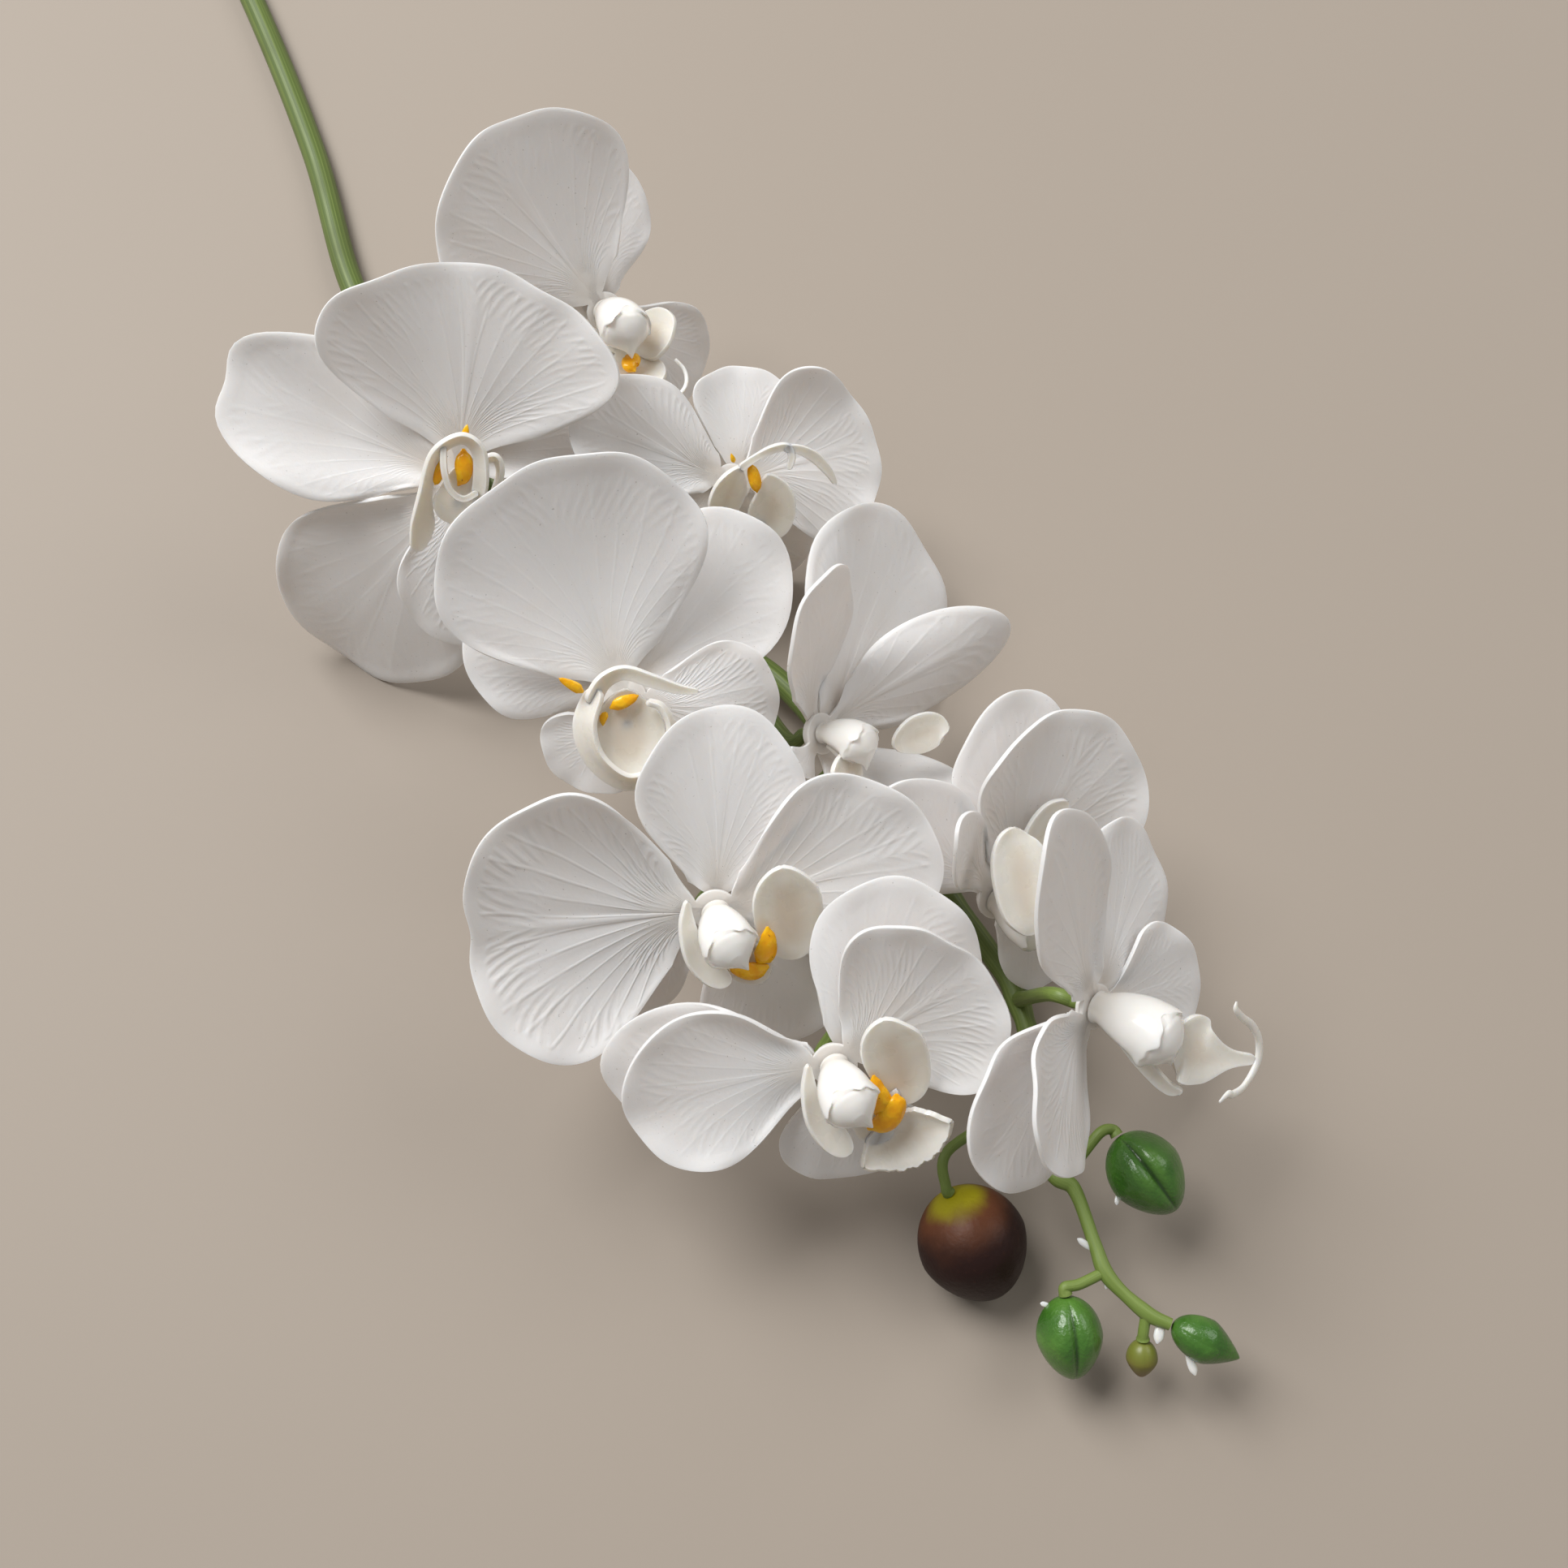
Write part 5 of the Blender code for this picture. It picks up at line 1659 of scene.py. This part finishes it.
def build_bud_material(settings, groups):
    """Glossy green buds with shade painted into their grooves."""
    tree, shader = new_material("bud_green")
    along = form_parts(tree)["Y"]
    groove = add_node(tree, "Attribute", attribute_name="groove").outputs["Fac"]
    mottle = patches(tree, groups, scale=110.0, contrast=1.4, detail=4.0)
    speckle = patches(tree, groups, scale=1300.0, contrast=1.3, detail=2.0)
    colour = mix(tree, fade(tree, mottle, 0.3, 0.8), settings.green, settings.green_light)
    colour = mix(tree, fade(tree, along, 0.14, 0.0, 0.0, 0.6), colour, settings.green_light)
    colour = mix(tree, fade(tree, speckle, 0.6, 0.85, 0.0, 0.3), colour, settings.green_light)
    # Painted shade: the grooves are darkened towards the groove colour
    colour = mix(tree, fade(tree, groove, 0.45, 1.0, 0.0, 0.75), colour, settings.groove)
    paint(tree, shader, colour, mottle, 0.24, 0.36)
    height = calculate(tree, "MULTIPLY_ADD", speckle, 0.14, calculate(tree, "MULTIPLY", mottle, 0.3))
    add_bump(tree, shader, height, 1.0, MM)
    coat(shader, 0.3, 0.12)


def ragged_along(tree, along, broad, strength):
    """Way along a bud with an uneven border, so that its colours meet in patches."""
    return calculate(tree, "MULTIPLY_ADD", calculate(tree, "SUBTRACT", broad, 0.5), strength, along)


def build_brown_material(settings, groups):
    """The big bud: yellow-green at its base, a rusty band, and dark brown over the rest."""
    tree, shader = new_material("bud_brown")
    along = form_parts(tree)["Y"]
    broad = patches(tree, groups, scale=80.0, contrast=1.2, detail=4.0)
    speckle = patches(tree, groups, scale=800.0, contrast=1.3, detail=3.0)
    shifted = ragged_along(tree, along, broad, 0.22)
    colour = mix(tree, fade(tree, shifted, 0.05, 0.22), settings.brown_base, settings.brown_middle)
    colour = mix(tree, fade(tree, shifted, 0.17, 0.44), colour, settings.brown_tip)
    colour = mix(tree, fade(tree, speckle, 0.6, 0.9, 0.0, 0.12), colour, settings.brown_middle)
    paint(tree, shader, colour, broad, 0.42, 0.58)
    height = calculate(tree, "MULTIPLY_ADD", speckle, 0.1, calculate(tree, "MULTIPLY", broad, 0.4))
    add_bump(tree, shader, height, 1.0, MM)
    shader.inputs["Specular IOR Level"].default_value = 0.25


def build_olive_material(settings, groups):
    """The smallest bud, olive with a brown tip."""
    tree, shader = new_material("bud_olive")
    along = form_parts(tree)["Y"]
    broad = patches(tree, groups, scale=200.0, contrast=1.4, detail=4.0)
    shifted = ragged_along(tree, along, broad, 0.3)
    colour = mix(tree, fade(tree, shifted, 0.2, 0.9), OLIVE_BASE, OLIVE_TIP)
    paint(tree, shader, colour, broad, 0.35, 0.5)
    add_bump(tree, shader, broad, 0.3, 0.3 * MM)


def build_floor_material(settings, groups):
    """A plain pale floor with a very faint unevenness."""
    tree, shader = new_material("pale_floor")
    mottle = patches(tree, groups, scale=6.0, contrast=0.6, detail=3.0)
    colour = tuple(settings.floor_colour)
    darker = tuple(FLOOR_SHADE * v for v in colour)
    tree.links.new(mix(tree, mottle, darker, colour), shader.inputs["Base Color"])
    shader.inputs["Roughness"].default_value = 0.65


def bloom_frame(number):
    """A bloom's frame in the part's frame, with z along its facing."""
    form = BLOOMS[number]
    return SPRAY @ facing_matrix(form["centre"], *form["facing"])


def centre_frame(number):
    """The frame of a flower's centre, with x along the lip's way."""
    turn = Matrix.Rotation(math.radians(BLOOMS[number]["lip"]), 4, "Z")
    return bloom_frame(number) @ turn


def cradle_frame(number):
    """The lip's frame, tipped up from the flower's face."""
    place = Matrix.Translation(Vector(LIP_PLACE) * BLOOMS[number]["size"] * MM)
    return centre_frame(number) @ place @ Matrix.Rotation(math.radians(-LIP_RISE), 4, "Y")


def lip_lobes(form):
    """The lip's two side lobes and its middle lobe."""
    size = form["size"]
    left, right = form.get("sides", SIDE_LOBES)
    middle = form.get("middle", MIDDLE_LOBE)
    plain = {"fan": LIP_FAN, "folds": LIP_FOLDS}
    raised = {"tilt": SIDE_RISE, "cup": (15, 15), **plain}
    return [
        lobe(-SIDE_ANGLE, left[0] * size, left[1] * size, **raised),
        lobe(0, middle * size, MIDDLE_WIDTH * size, tilt=5, bend=25, cup=(28, 28), **plain),
        lobe(SIDE_ANGLE, right[0] * size, right[1] * size, **raised),
    ]


def cirrus_path(middle_lobe, size, side):
    """One of the two curled ribbons at the middle lobe's tip, in the lip's frame."""
    along, ray = CIRRUS_ROOT
    where = np.array([along]), np.array([side * ray])
    tip = lobe_points(middle_lobe, LIP_HUB * size, *where, fine=False)[0]
    path = []
    for k in range(CIRRUS_STEPS):
        turn = math.radians(CIRRUS_TURN * k)
        ahead = CIRRUS_CURL[0] * size * math.sin(turn)
        aside = CIRRUS_CURL[1] * size * (1.0 - math.cos(turn))
        path.append((tip[0] + ahead, tip[1] + side * aside, tip[2] + CIRRUS_RISE * size * k))
    return path


def on_column(feature, place, wrapped):
    """How strong a feature of the column is at a place along it and round it."""
    strength, centre, reach, side, spread = feature
    return strength * hill(place, reach, centre) * hill(wrapped, spread, side)


def column_rings(size):
    """Rings of the column: a smooth arched back, a wavy rim, and a cap with a beak under it."""
    path = smooth_path(COLUMN_PATH, COLUMN_STEPS[0])
    length = np.concatenate([[0.0], np.cumsum(np.linalg.norm(np.diff(path, axis=0), axis=1))])
    length = length / length[-1]
    parts = (smooth_path(part, COLUMN_STEPS[1]) for part in (COLUMN_SECTIONS, CAP_SECTIONS))
    sections = np.concatenate(list(parts))
    turn = np.linspace(0.0, 2.0 * math.pi, COLUMN_SIDES, endpoint=False)
    wrapped = np.minimum(turn, 2.0 * math.pi - turn)
    wave = sum(height * np.cos(count * turn + shift) for height, count, shift in COLUMN_WAVES)
    way = np.gradient(path, axis=0)
    way = way / np.linalg.norm(way, axis=1, keepdims=True)
    rings = []
    for place, wide, back, front in sections:
        centre = np.array([np.interp(place, length, path[:, k]) for k in range(3)])
        tangent = np.array([np.interp(place, length, way[:, k]) for k in range(3)])
        across = np.array([tangent[2], 0.0, -tangent[0]])
        depth = np.where(np.cos(turn) > 0.0, front, back)
        depth = depth * (1.0 - on_column(HOLLOW, place, wrapped))
        wing = on_column(WING, place, wrapped)
        reach = depth * np.cos(turn) + np.where(np.cos(turn) > 0.0, wing, 0.0)
        reach = reach + on_column(BEAK, place, wrapped)
        shift = wave * hill(place, RIM_REACH, COLUMN_RIM) * (place <= COLUMN_RIM)
        ring = centre + reach[:, None] * across + shift[:, None] * tangent
        ring[:, 1] += (wide + wing) * np.sin(turn)
        rings.append(ring)
    rings = np.array(rings)
    rings[..., 2] = np.maximum(rings[..., 2], COLUMN_PATH[0][2])
    return rings * size


def strand(name, rows, matrix):
    """A short fleshy strand of the crest: rows of place and radius, broader than it is thick."""
    path = smooth_path(rows, STRAND_TUBE[0])
    side, up = ring_frames(path[:, :3])
    turn = np.linspace(0.0, 2.0 * math.pi, STRAND_TUBE[1], endpoint=False)
    blunt, widening = STRAND_END
    rings = []
    for k, place in enumerate(path):
        run = k / (len(path) - 1)
        humps = 1.0 + STRAND_HUMPS[0] * np.cos(2.0 * turn + 3.0 * run)
        humps = humps + STRAND_HUMPS[1] * np.sin(3.0 * turn + 6.0 * run)
        wide = place[3] * min(1.0, blunt + widening * min(run, 1.0 - run)) * humps
        across = STRAND_SHAPE[0] * np.cos(turn)[:, None] * side[k]
        across = across + STRAND_SHAPE[1] * np.sin(turn)[:, None] * up[k]
        rings.append(place[:3] + wide[:, None] * across)
    return loft(name, rings, matrix)


class ORCHID_OT_finishes(bpy.types.Operator):
    """Make the finishes that the pieces of the spray share"""

    bl_idname = "orchid.finishes"
    bl_label = "Finishes"

    def execute(self, context):
        groups = build_groups()
        bloom = context.scene.orchid_bloom
        build_petal_material(bloom, groups)
        build_column_material(bloom, groups)
        build_lip_material(bloom, groups)
        build_callus_material(bloom, groups)
        build_stem_material(context.scene.orchid_stem, groups)
        build_bud_material(context.scene.orchid_buds, groups)
        build_brown_material(context.scene.orchid_buds, groups)
        build_olive_material(context.scene.orchid_buds, groups)
        build_floor_material(context.scene.orchid_stage, groups)
        return {"FINISHED"}


class ORCHID_OT_petals(bpy.types.Operator):
    """Make the front layer of each bloom, its two petals"""

    bl_idname = "orchid.petals"
    bl_label = "Petals"

    def execute(self, context):
        settings = context.scene.orchid_bloom
        for number, form in BLOOMS.items():
            lobes = [scaled(item, settings.scale) for item in form["petals"]]
            place = bloom_frame(number)
            name = f"petals_of_bloom_{number}"
            piece = sheet(name, lobes, PETAL_HUB, PETAL_GRID, settings.sheet, place)
            finish_piece(piece, "petal_white", f"bloom_{number}_petals")
        return {"FINISHED"}


class ORCHID_OT_sepals(bpy.types.Operator):
    """Make the back layer of each bloom, its three sepals"""

    bl_idname = "orchid.sepals"
    bl_label = "Sepals"

    def execute(self, context):
        settings = context.scene.orchid_bloom
        for number, form in BLOOMS.items():
            lobes = [scaled(item, settings.scale, SEPAL_RELIEF) for item in form["sepals"]]
            place = bloom_frame(number) @ Matrix.Translation((0.0, 0.0, -SHEET_PITCH * MM))
            name = f"sepals_of_bloom_{number}"
            piece = sheet(name, lobes, SEPAL_HUB, SEPAL_GRID, settings.sheet, place)
            finish_piece(piece, "petal_white", f"bloom_{number}_sepals")
        return {"FINISHED"}


class ORCHID_OT_columns(bpy.types.Operator):
    """Make each bloom's glossy column"""

    bl_idname = "orchid.columns"
    bl_label = "Columns"

    def execute(self, context):
        for number, form in BLOOMS.items():
            stub = form.get("stub", 1.0)
            rings = column_rings(form["size"] * stub)
            rings[..., 2] += COLUMN_PATH[0][2] * (1.0 - stub * form["size"])
            piece = loft(f"column_of_bloom_{number}", rings, centre_frame(number))
            finish_piece(piece, "column_white", f"bloom_{number}_column")
        return {"FINISHED"}


def claw_and_ribbons(number, form, lobes, cradle):
    """The claw that carries a lip with lobes, and the two ribbons at its tip."""
    size = form["size"]
    foot = Vector((CLAW_FOOT[0] * size, 0.0, CLAW_FOOT[2])) * MM
    foot = (cradle.inverted() @ centre_frame(number) @ foot) / MM
    claw = smooth_path([tuple(foot), (0.0, 0.0, 0.0), CLAW_END], CLAW_TUBE[0])
    pieces = [tube("claw", claw, [CLAW_RADIUS] * len(claw), CLAW_TUBE[1], cradle)]
    if form.get("cirri", True):
        for side in (-1, 1):
            path = smooth_path(cirrus_path(lobes[1], size, side), CIRRUS_TUBE[0])
            radii = CIRRUS_RADIUS * np.linspace(1.0, CIRRUS_TAPER, len(path))
            pieces.append(tube("ribbon", path, radii, CIRRUS_TUBE[1], cradle, flat=CIRRUS_FLATNESS))
    return pieces


def curled_lip(form, thickness, matrix):
    """The bands, stalk and ribbons of a lip, in the bloom's frame."""
    pieces = []
    for k, rows in enumerate(form["bands"]):
        edge = SCOOP if form.get("scoop") == k else {}
        pieces.append(band("band", rows, thickness, matrix, **edge))
    stalk = smooth_path(form["stalk"], LIP_STALK_TUBE[0])
    pieces.append(tube("stalk", stalk, [CLAW_RADIUS] * len(stalk), LIP_STALK_TUBE[1], matrix))
    for rows in form.get("ribbons", []):
        path = smooth_path(rows, RIBBON_TUBE[0])
        around = RIBBON_TUBE[1]
        pieces.append(tube("ribbon", path[:, :3], path[:, 3], around, matrix, flat=RIBBON_FLATNESS))
    return pieces


class ORCHID_OT_lips(bpy.types.Operator):
    """Make each bloom's lip, with its claw and curled ribbons"""

    bl_idname = "orchid.lips"
    bl_label = "Lips"

    def execute(self, context):
        settings = context.scene.orchid_bloom
        for number, form in BLOOMS.items():
            curled = LIPS.get(number, form)
            if "bands" in curled:
                pieces = curled_lip(curled, settings.lip, bloom_frame(number))
            else:
                cradle = cradle_frame(number)
                lobes = [scaled(item, settings.scale) for item in lip_lobes(form)]
                hub = LIP_HUB * form["size"]
                pieces = [sheet("lobes", lobes, hub, LIP_GRID, settings.lip, cradle)]
                pieces += claw_and_ribbons(number, form, lobes, cradle)
            lip = gather(f"lip_of_bloom_{number}", pieces)
            finish_piece(lip, "lip_cream", f"bloom_{number}_lip")
        return {"FINISHED"}


class ORCHID_OT_crests(bpy.types.Operator):
    """Make the yellow crest on each lip"""

    bl_idname = "orchid.crests"
    bl_label = "Crests"

    def execute(self, context):
        for number, form in BLOOMS.items():
            strands = LIPS.get(number, form).get("crest")
            if strands:
                pieces = [strand("strand", rows, bloom_frame(number)) for rows in strands]
            else:
                rows = [tuple(form["size"] * v for v in row) for row in CREST_PATH]
                pieces = [strand("strand", rows, cradle_frame(number))]
            piece = gather(f"crest_of_bloom_{number}", pieces)
            finish_piece(piece, "callus_yellow", f"bloom_{number}_callus")
        return {"FINISHED"}


def pedicel_path(number):
    """From the main stem to just behind a bloom's sepals, square to them at the end."""
    form = BLOOMS[number]
    table_frame = facing_matrix(form["centre"], *form["facing"])
    behind = -(SHEET_PITCH + SHEET_THICKNESS / 2.0 + GAP)
    ends = [tuple(table_frame @ (Vector((0, 0, behind - back)) * MM) / MM) for back in RUN_IN]
    return smooth_path([PEDICEL_ROOTS[number]] + ends, PEDICEL_TUBE[0])


def bud_stalk_path(bud):
    """From the stem to just behind a bud, along the bud's axis at the end."""
    axis = Vector(bud["axis"]).normalized()
    foot = Vector(bud["centre"]) - axis * (bud["length"] / 2.0 + GAP)
    ends = [tuple(foot - axis * BUD_RUN_IN), tuple(foot)]
    return smooth_path(bud["path"] + ends, BUD_STALK_TUBE[0])


def swollen(path):
    """The stem's radii, thicker round each place where a stalk leaves it."""
    nodes = list(PEDICEL_ROOTS.values()) + [bud["path"][0] for bud in BUDS.values() if bud["path"]]
    radii = path[:, 3].copy()
    more, reach = NODE_SWELL
    for node in nodes:
        away = np.linalg.norm(path[:, :3] - np.array(node, float), axis=1)
        radii = np.maximum(radii, path[:, 3] * (1.0 + more * hill(away, reach)))
    return radii


def swelled_stalk(path, radius, swell, sides, run):
    """A stalk, thicker where run is near 0."""
    more, reach = swell
    return tube("stalk", path, radius * (1.0 + more * hill(run, reach)), sides, SPRAY)


class ORCHID_OT_stem(bpy.types.Operator):
    """Make the stem with all its stalks"""

    bl_idname = "orchid.stem"
    bl_label = "Stem"

    def execute(self, context):
        settings = context.scene.orchid_stem
        path = smooth_path([(*place, radius) for place, radius in STEM], STEM_TUBE[0])
        stem = tube("stem_and_stalks", path[:, :3], swollen(path), STEM_TUBE[1], SPRAY)
        stalks = []
        for number in BLOOMS:
            way = pedicel_path(number)
            run = np.linspace(0, 1, len(way))
            radius = settings.pedicel / MM
            stalks.append(swelled_stalk(way, radius, PEDICEL_SWELL, PEDICEL_TUBE[1], run))
        for bud in BUDS.values():
            if bud["path"]:
                way = bud_stalk_path(bud)
                run = np.linspace(1, 0, len(way))
                stalks.append(swelled_stalk(way, BUD_NECK, BUD_STALK_SWELL, BUD_STALK_TUBE[1], run))
        join(stem, stalks)
        finish_piece(stem, "stem_green", "stem")
        return {"FINISHED"}


class ORCHID_OT_nubs(bpy.types.Operator):
    """Make the small clear nubs on the stem's tip and on the buds"""

    bl_idname = "orchid.nubs"
    bl_label = "Nubs"

    def execute(self, context):
        pieces = []
        for carrier, place, way, length, radius in NUBS:
            near = SPRAY @ (Vector(place) * MM)
            found, near, _, _ = bpy.data.objects[carrier].closest_point_on_mesh(near)
            if not found:
                raise RuntimeError("a nub has nothing to sit on")
            start = np.array(SPRAY.inverted() @ near) / MM
            step = np.array(way) / np.linalg.norm(way) * length
            rows = [(*(start + share * step), wide * radius) for share, wide in NUB_SECTIONS]
            path = smooth_path(rows, NUB_TUBE[0])
            around = NUB_TUBE[1]
            pieces.append(tube("nub", path[:, :3], path[:, 3], around, SPRAY, flat=NUB_FLATNESS))
        finish_piece(gather("nubs_on_stem", pieces), "lip_cream")
        return {"FINISHED"}


def bud_rings(bud, facing):
    """Rings of a bud from its base to its tip with three grooves, and how deep in one each is, which sets
    the shade painted into the grooves.

    The deepest groove lies at the angle facing.
    """
    turn = np.linspace(0.0, 2.0 * math.pi, BUD_SIDES, endpoint=False)
    grooves = 0.0 * turn
    banks = 0.0 * turn
    for k, share in enumerate(GROOVE_SHARES):
        away = (turn - facing - k * 2.0 * math.pi / 3.0 + math.pi) % (2.0 * math.pi) - math.pi
        grooves = grooves + share * hill(away, GROOVE_WIDTH)
        banks = banks + share * hill(np.abs(away), BANK[1], BANK[0])
    rings = []
    near = []
    for k in range(1, BUD_RINGS):
        lean = math.pi * k / BUD_RINGS
        height = -math.cos(lean) * 0.5
        tip = max(height, 0.0) * 2.0
        round_end = math.sin(lean)
        sharp_end = (1.0 - tip) ** POINT_POWERS[0]
        share = bud["point"] * tip ** POINT_POWERS[1]
        radius = 0.5 * (round_end * (1.0 - share) + sharp_end * share)
        radius = radius * (1.0 - BUD_TAPER * max(height, 0.0))
        depth = bud["groove"] * math.sin(lean) ** GROOVE_POWER
        swell = 1.0 - GROOVE_DEPTH * depth * grooves + BANK_HEIGHT * depth * banks
        wide = radius * bud["width"] * swell
        level = np.full(len(turn), height * bud["length"])
        rings.append(np.stack([wide * np.cos(turn), wide * np.sin(turn), level], axis=-1))
        near.append(depth * grooves)
    return rings, np.concatenate([np.concatenate(near), [0.0, 0.0]])


class ORCHID_OT_buds(bpy.types.Operator):
    """Make the closed buds at the spray's tip"""

    bl_idname = "orchid.buds"
    bl_label = "Buds"

    def execute(self, context):
        for name, bud in BUDS.items():
            axis = Vector(bud["axis"]).normalized()
            turn = axis.to_track_quat("Z", "Y").to_matrix()
            up = turn.inverted() @ Vector(GROOVE_FACES)
            place = SPRAY @ Matrix.Translation(Vector(bud["centre"]) * MM) @ turn.to_4x4()
            rings, near = bud_rings(bud, math.atan2(up.y, up.x))
            piece = loft(name.replace("bud_", "closed_bud_"), rings, place)
            # The groove value marks where shade is painted into the bud's grooves
            value = piece.data.attributes.new("groove", "FLOAT", "POINT")
            value.data.foreach_set("value", near.astype(np.float32))
            finish_piece(piece, bud["slot"], name)
        return {"FINISHED"}


def lay_floor():
    """The plain floor under the spray."""
    bpy.ops.mesh.primitive_plane_add(size=FLOOR_SIZE)
    floor = bpy.context.active_object
    floor.name = "floor"
    floor.data.materials.append(bpy.data.materials["pale_floor"])


def place_camera(scene, settings):
    """The camera over the table frame's origin, dipped from level."""
    dip = settings.camera_dip
    back = Vector((0.0, -math.cos(dip), math.sin(dip)))
    up = Vector((0.0, math.sin(dip), math.cos(dip)))
    pose = Matrix((Vector((1.0, 0.0, 0.0)), up, back)).transposed().to_4x4()
    pose = Matrix.Translation((0.0, 0.0, settings.camera_height)) @ pose
    camera = bpy.data.objects.new("camera", bpy.data.cameras.new("camera"))
    scene.collection.objects.link(camera)
    camera.matrix_world = SPRAY @ pose
    camera.data.lens = settings.lens
    camera.data.sensor_width = SENSOR_WIDTH
    camera.data.clip_start = NEAREST_VIEW
    scene.camera = camera


def add_light(scene, name, place, size, power):
    """A square soft light at a place in the table's frame, aimed at the blooms."""
    lamp = bpy.data.lights.new(name, "AREA")
    lamp.size = size
    lamp.energy = power
    light = bpy.data.objects.new(name, lamp)
    scene.collection.objects.link(light)
    aim = (Vector(LIGHT_AIM) - Vector(place)).to_track_quat("-Z", "Y").to_matrix().to_4x4()
    light.matrix_world = SPRAY @ Matrix.Translation(place) @ aim


def set_sky(scene, brightness):
    """Plain surroundings, nearly white."""
    world = bpy.data.worlds.new("plain")
    world.use_nodes = True
    sky = world.node_tree.nodes["Background"]
    sky.inputs["Color"].default_value = SKY_COLOUR
    sky.inputs["Strength"].default_value = brightness
    scene.world = world


class ORCHID_OT_stage(bpy.types.Operator):
    """Make the floor, the lights and the camera"""

    bl_idname = "orchid.stage"
    bl_label = "Stage"

    def execute(self, context):
        scene = context.scene
        settings = scene.orchid_stage
        lay_floor()
        place_camera(scene, settings)
        scene.view_settings.view_transform = "Standard"
        add_light(scene, "key", *KEY_LIGHT, settings.key_power)
        add_light(scene, "fill", *FILL_LIGHT, settings.fill_power)
        set_sky(scene, settings.sky)
        return {"FINISHED"}


class ORCHID_PT_panel(bpy.types.Panel):
    """The spray's settings and the steps that build it"""

    bl_idname = "ORCHID_PT_panel"
    bl_label = "Orchid spray"
    bl_space_type = "VIEW_3D"
    bl_region_type = "UI"
    bl_category = "Orchid"

    def draw(self, context):
        for group in ("orchid_bloom", "orchid_stem", "orchid_buds", "orchid_stage"):
            box = self.layout.box()
            settings = getattr(context.scene, group)
            for key in settings.bl_rna.properties.keys():
                if key not in {"rna_type", "name"}:
                    box.prop(settings, key)
        for step in STEPS:
            self.layout.operator(step.bl_idname)


STEPS = (
    ORCHID_OT_finishes,
    ORCHID_OT_stage,
    ORCHID_OT_petals,
    ORCHID_OT_sepals,
    ORCHID_OT_columns,
    ORCHID_OT_lips,
    ORCHID_OT_crests,
    ORCHID_OT_stem,
    ORCHID_OT_buds,
    ORCHID_OT_nubs,
)
SETTINGS = {
    "orchid_bloom": OrchidBloomSettings,
    "orchid_stem": OrchidStemSettings,
    "orchid_buds": OrchidBudSettings,
    "orchid_stage": OrchidStageSettings,
}


def register():
    for name, group in SETTINGS.items():
        bpy.utils.register_class(group)
        setattr(bpy.types.Scene, name, bpy.props.PointerProperty(type=group))
    for step in STEPS:
        bpy.utils.register_class(step)
    bpy.utils.register_class(ORCHID_PT_panel)


def unregister():
    bpy.utils.unregister_class(ORCHID_PT_panel)
    for step in reversed(STEPS):
        bpy.utils.unregister_class(step)
    for name, group in SETTINGS.items():
        delattr(bpy.types.Scene, name)
        bpy.utils.unregister_class(group)


def main():
    register()
    for step in STEPS:
        family, name = step.bl_idname.split(".")
        getattr(getattr(bpy.ops, family), name)()


if __name__ == "__main__":
    main()
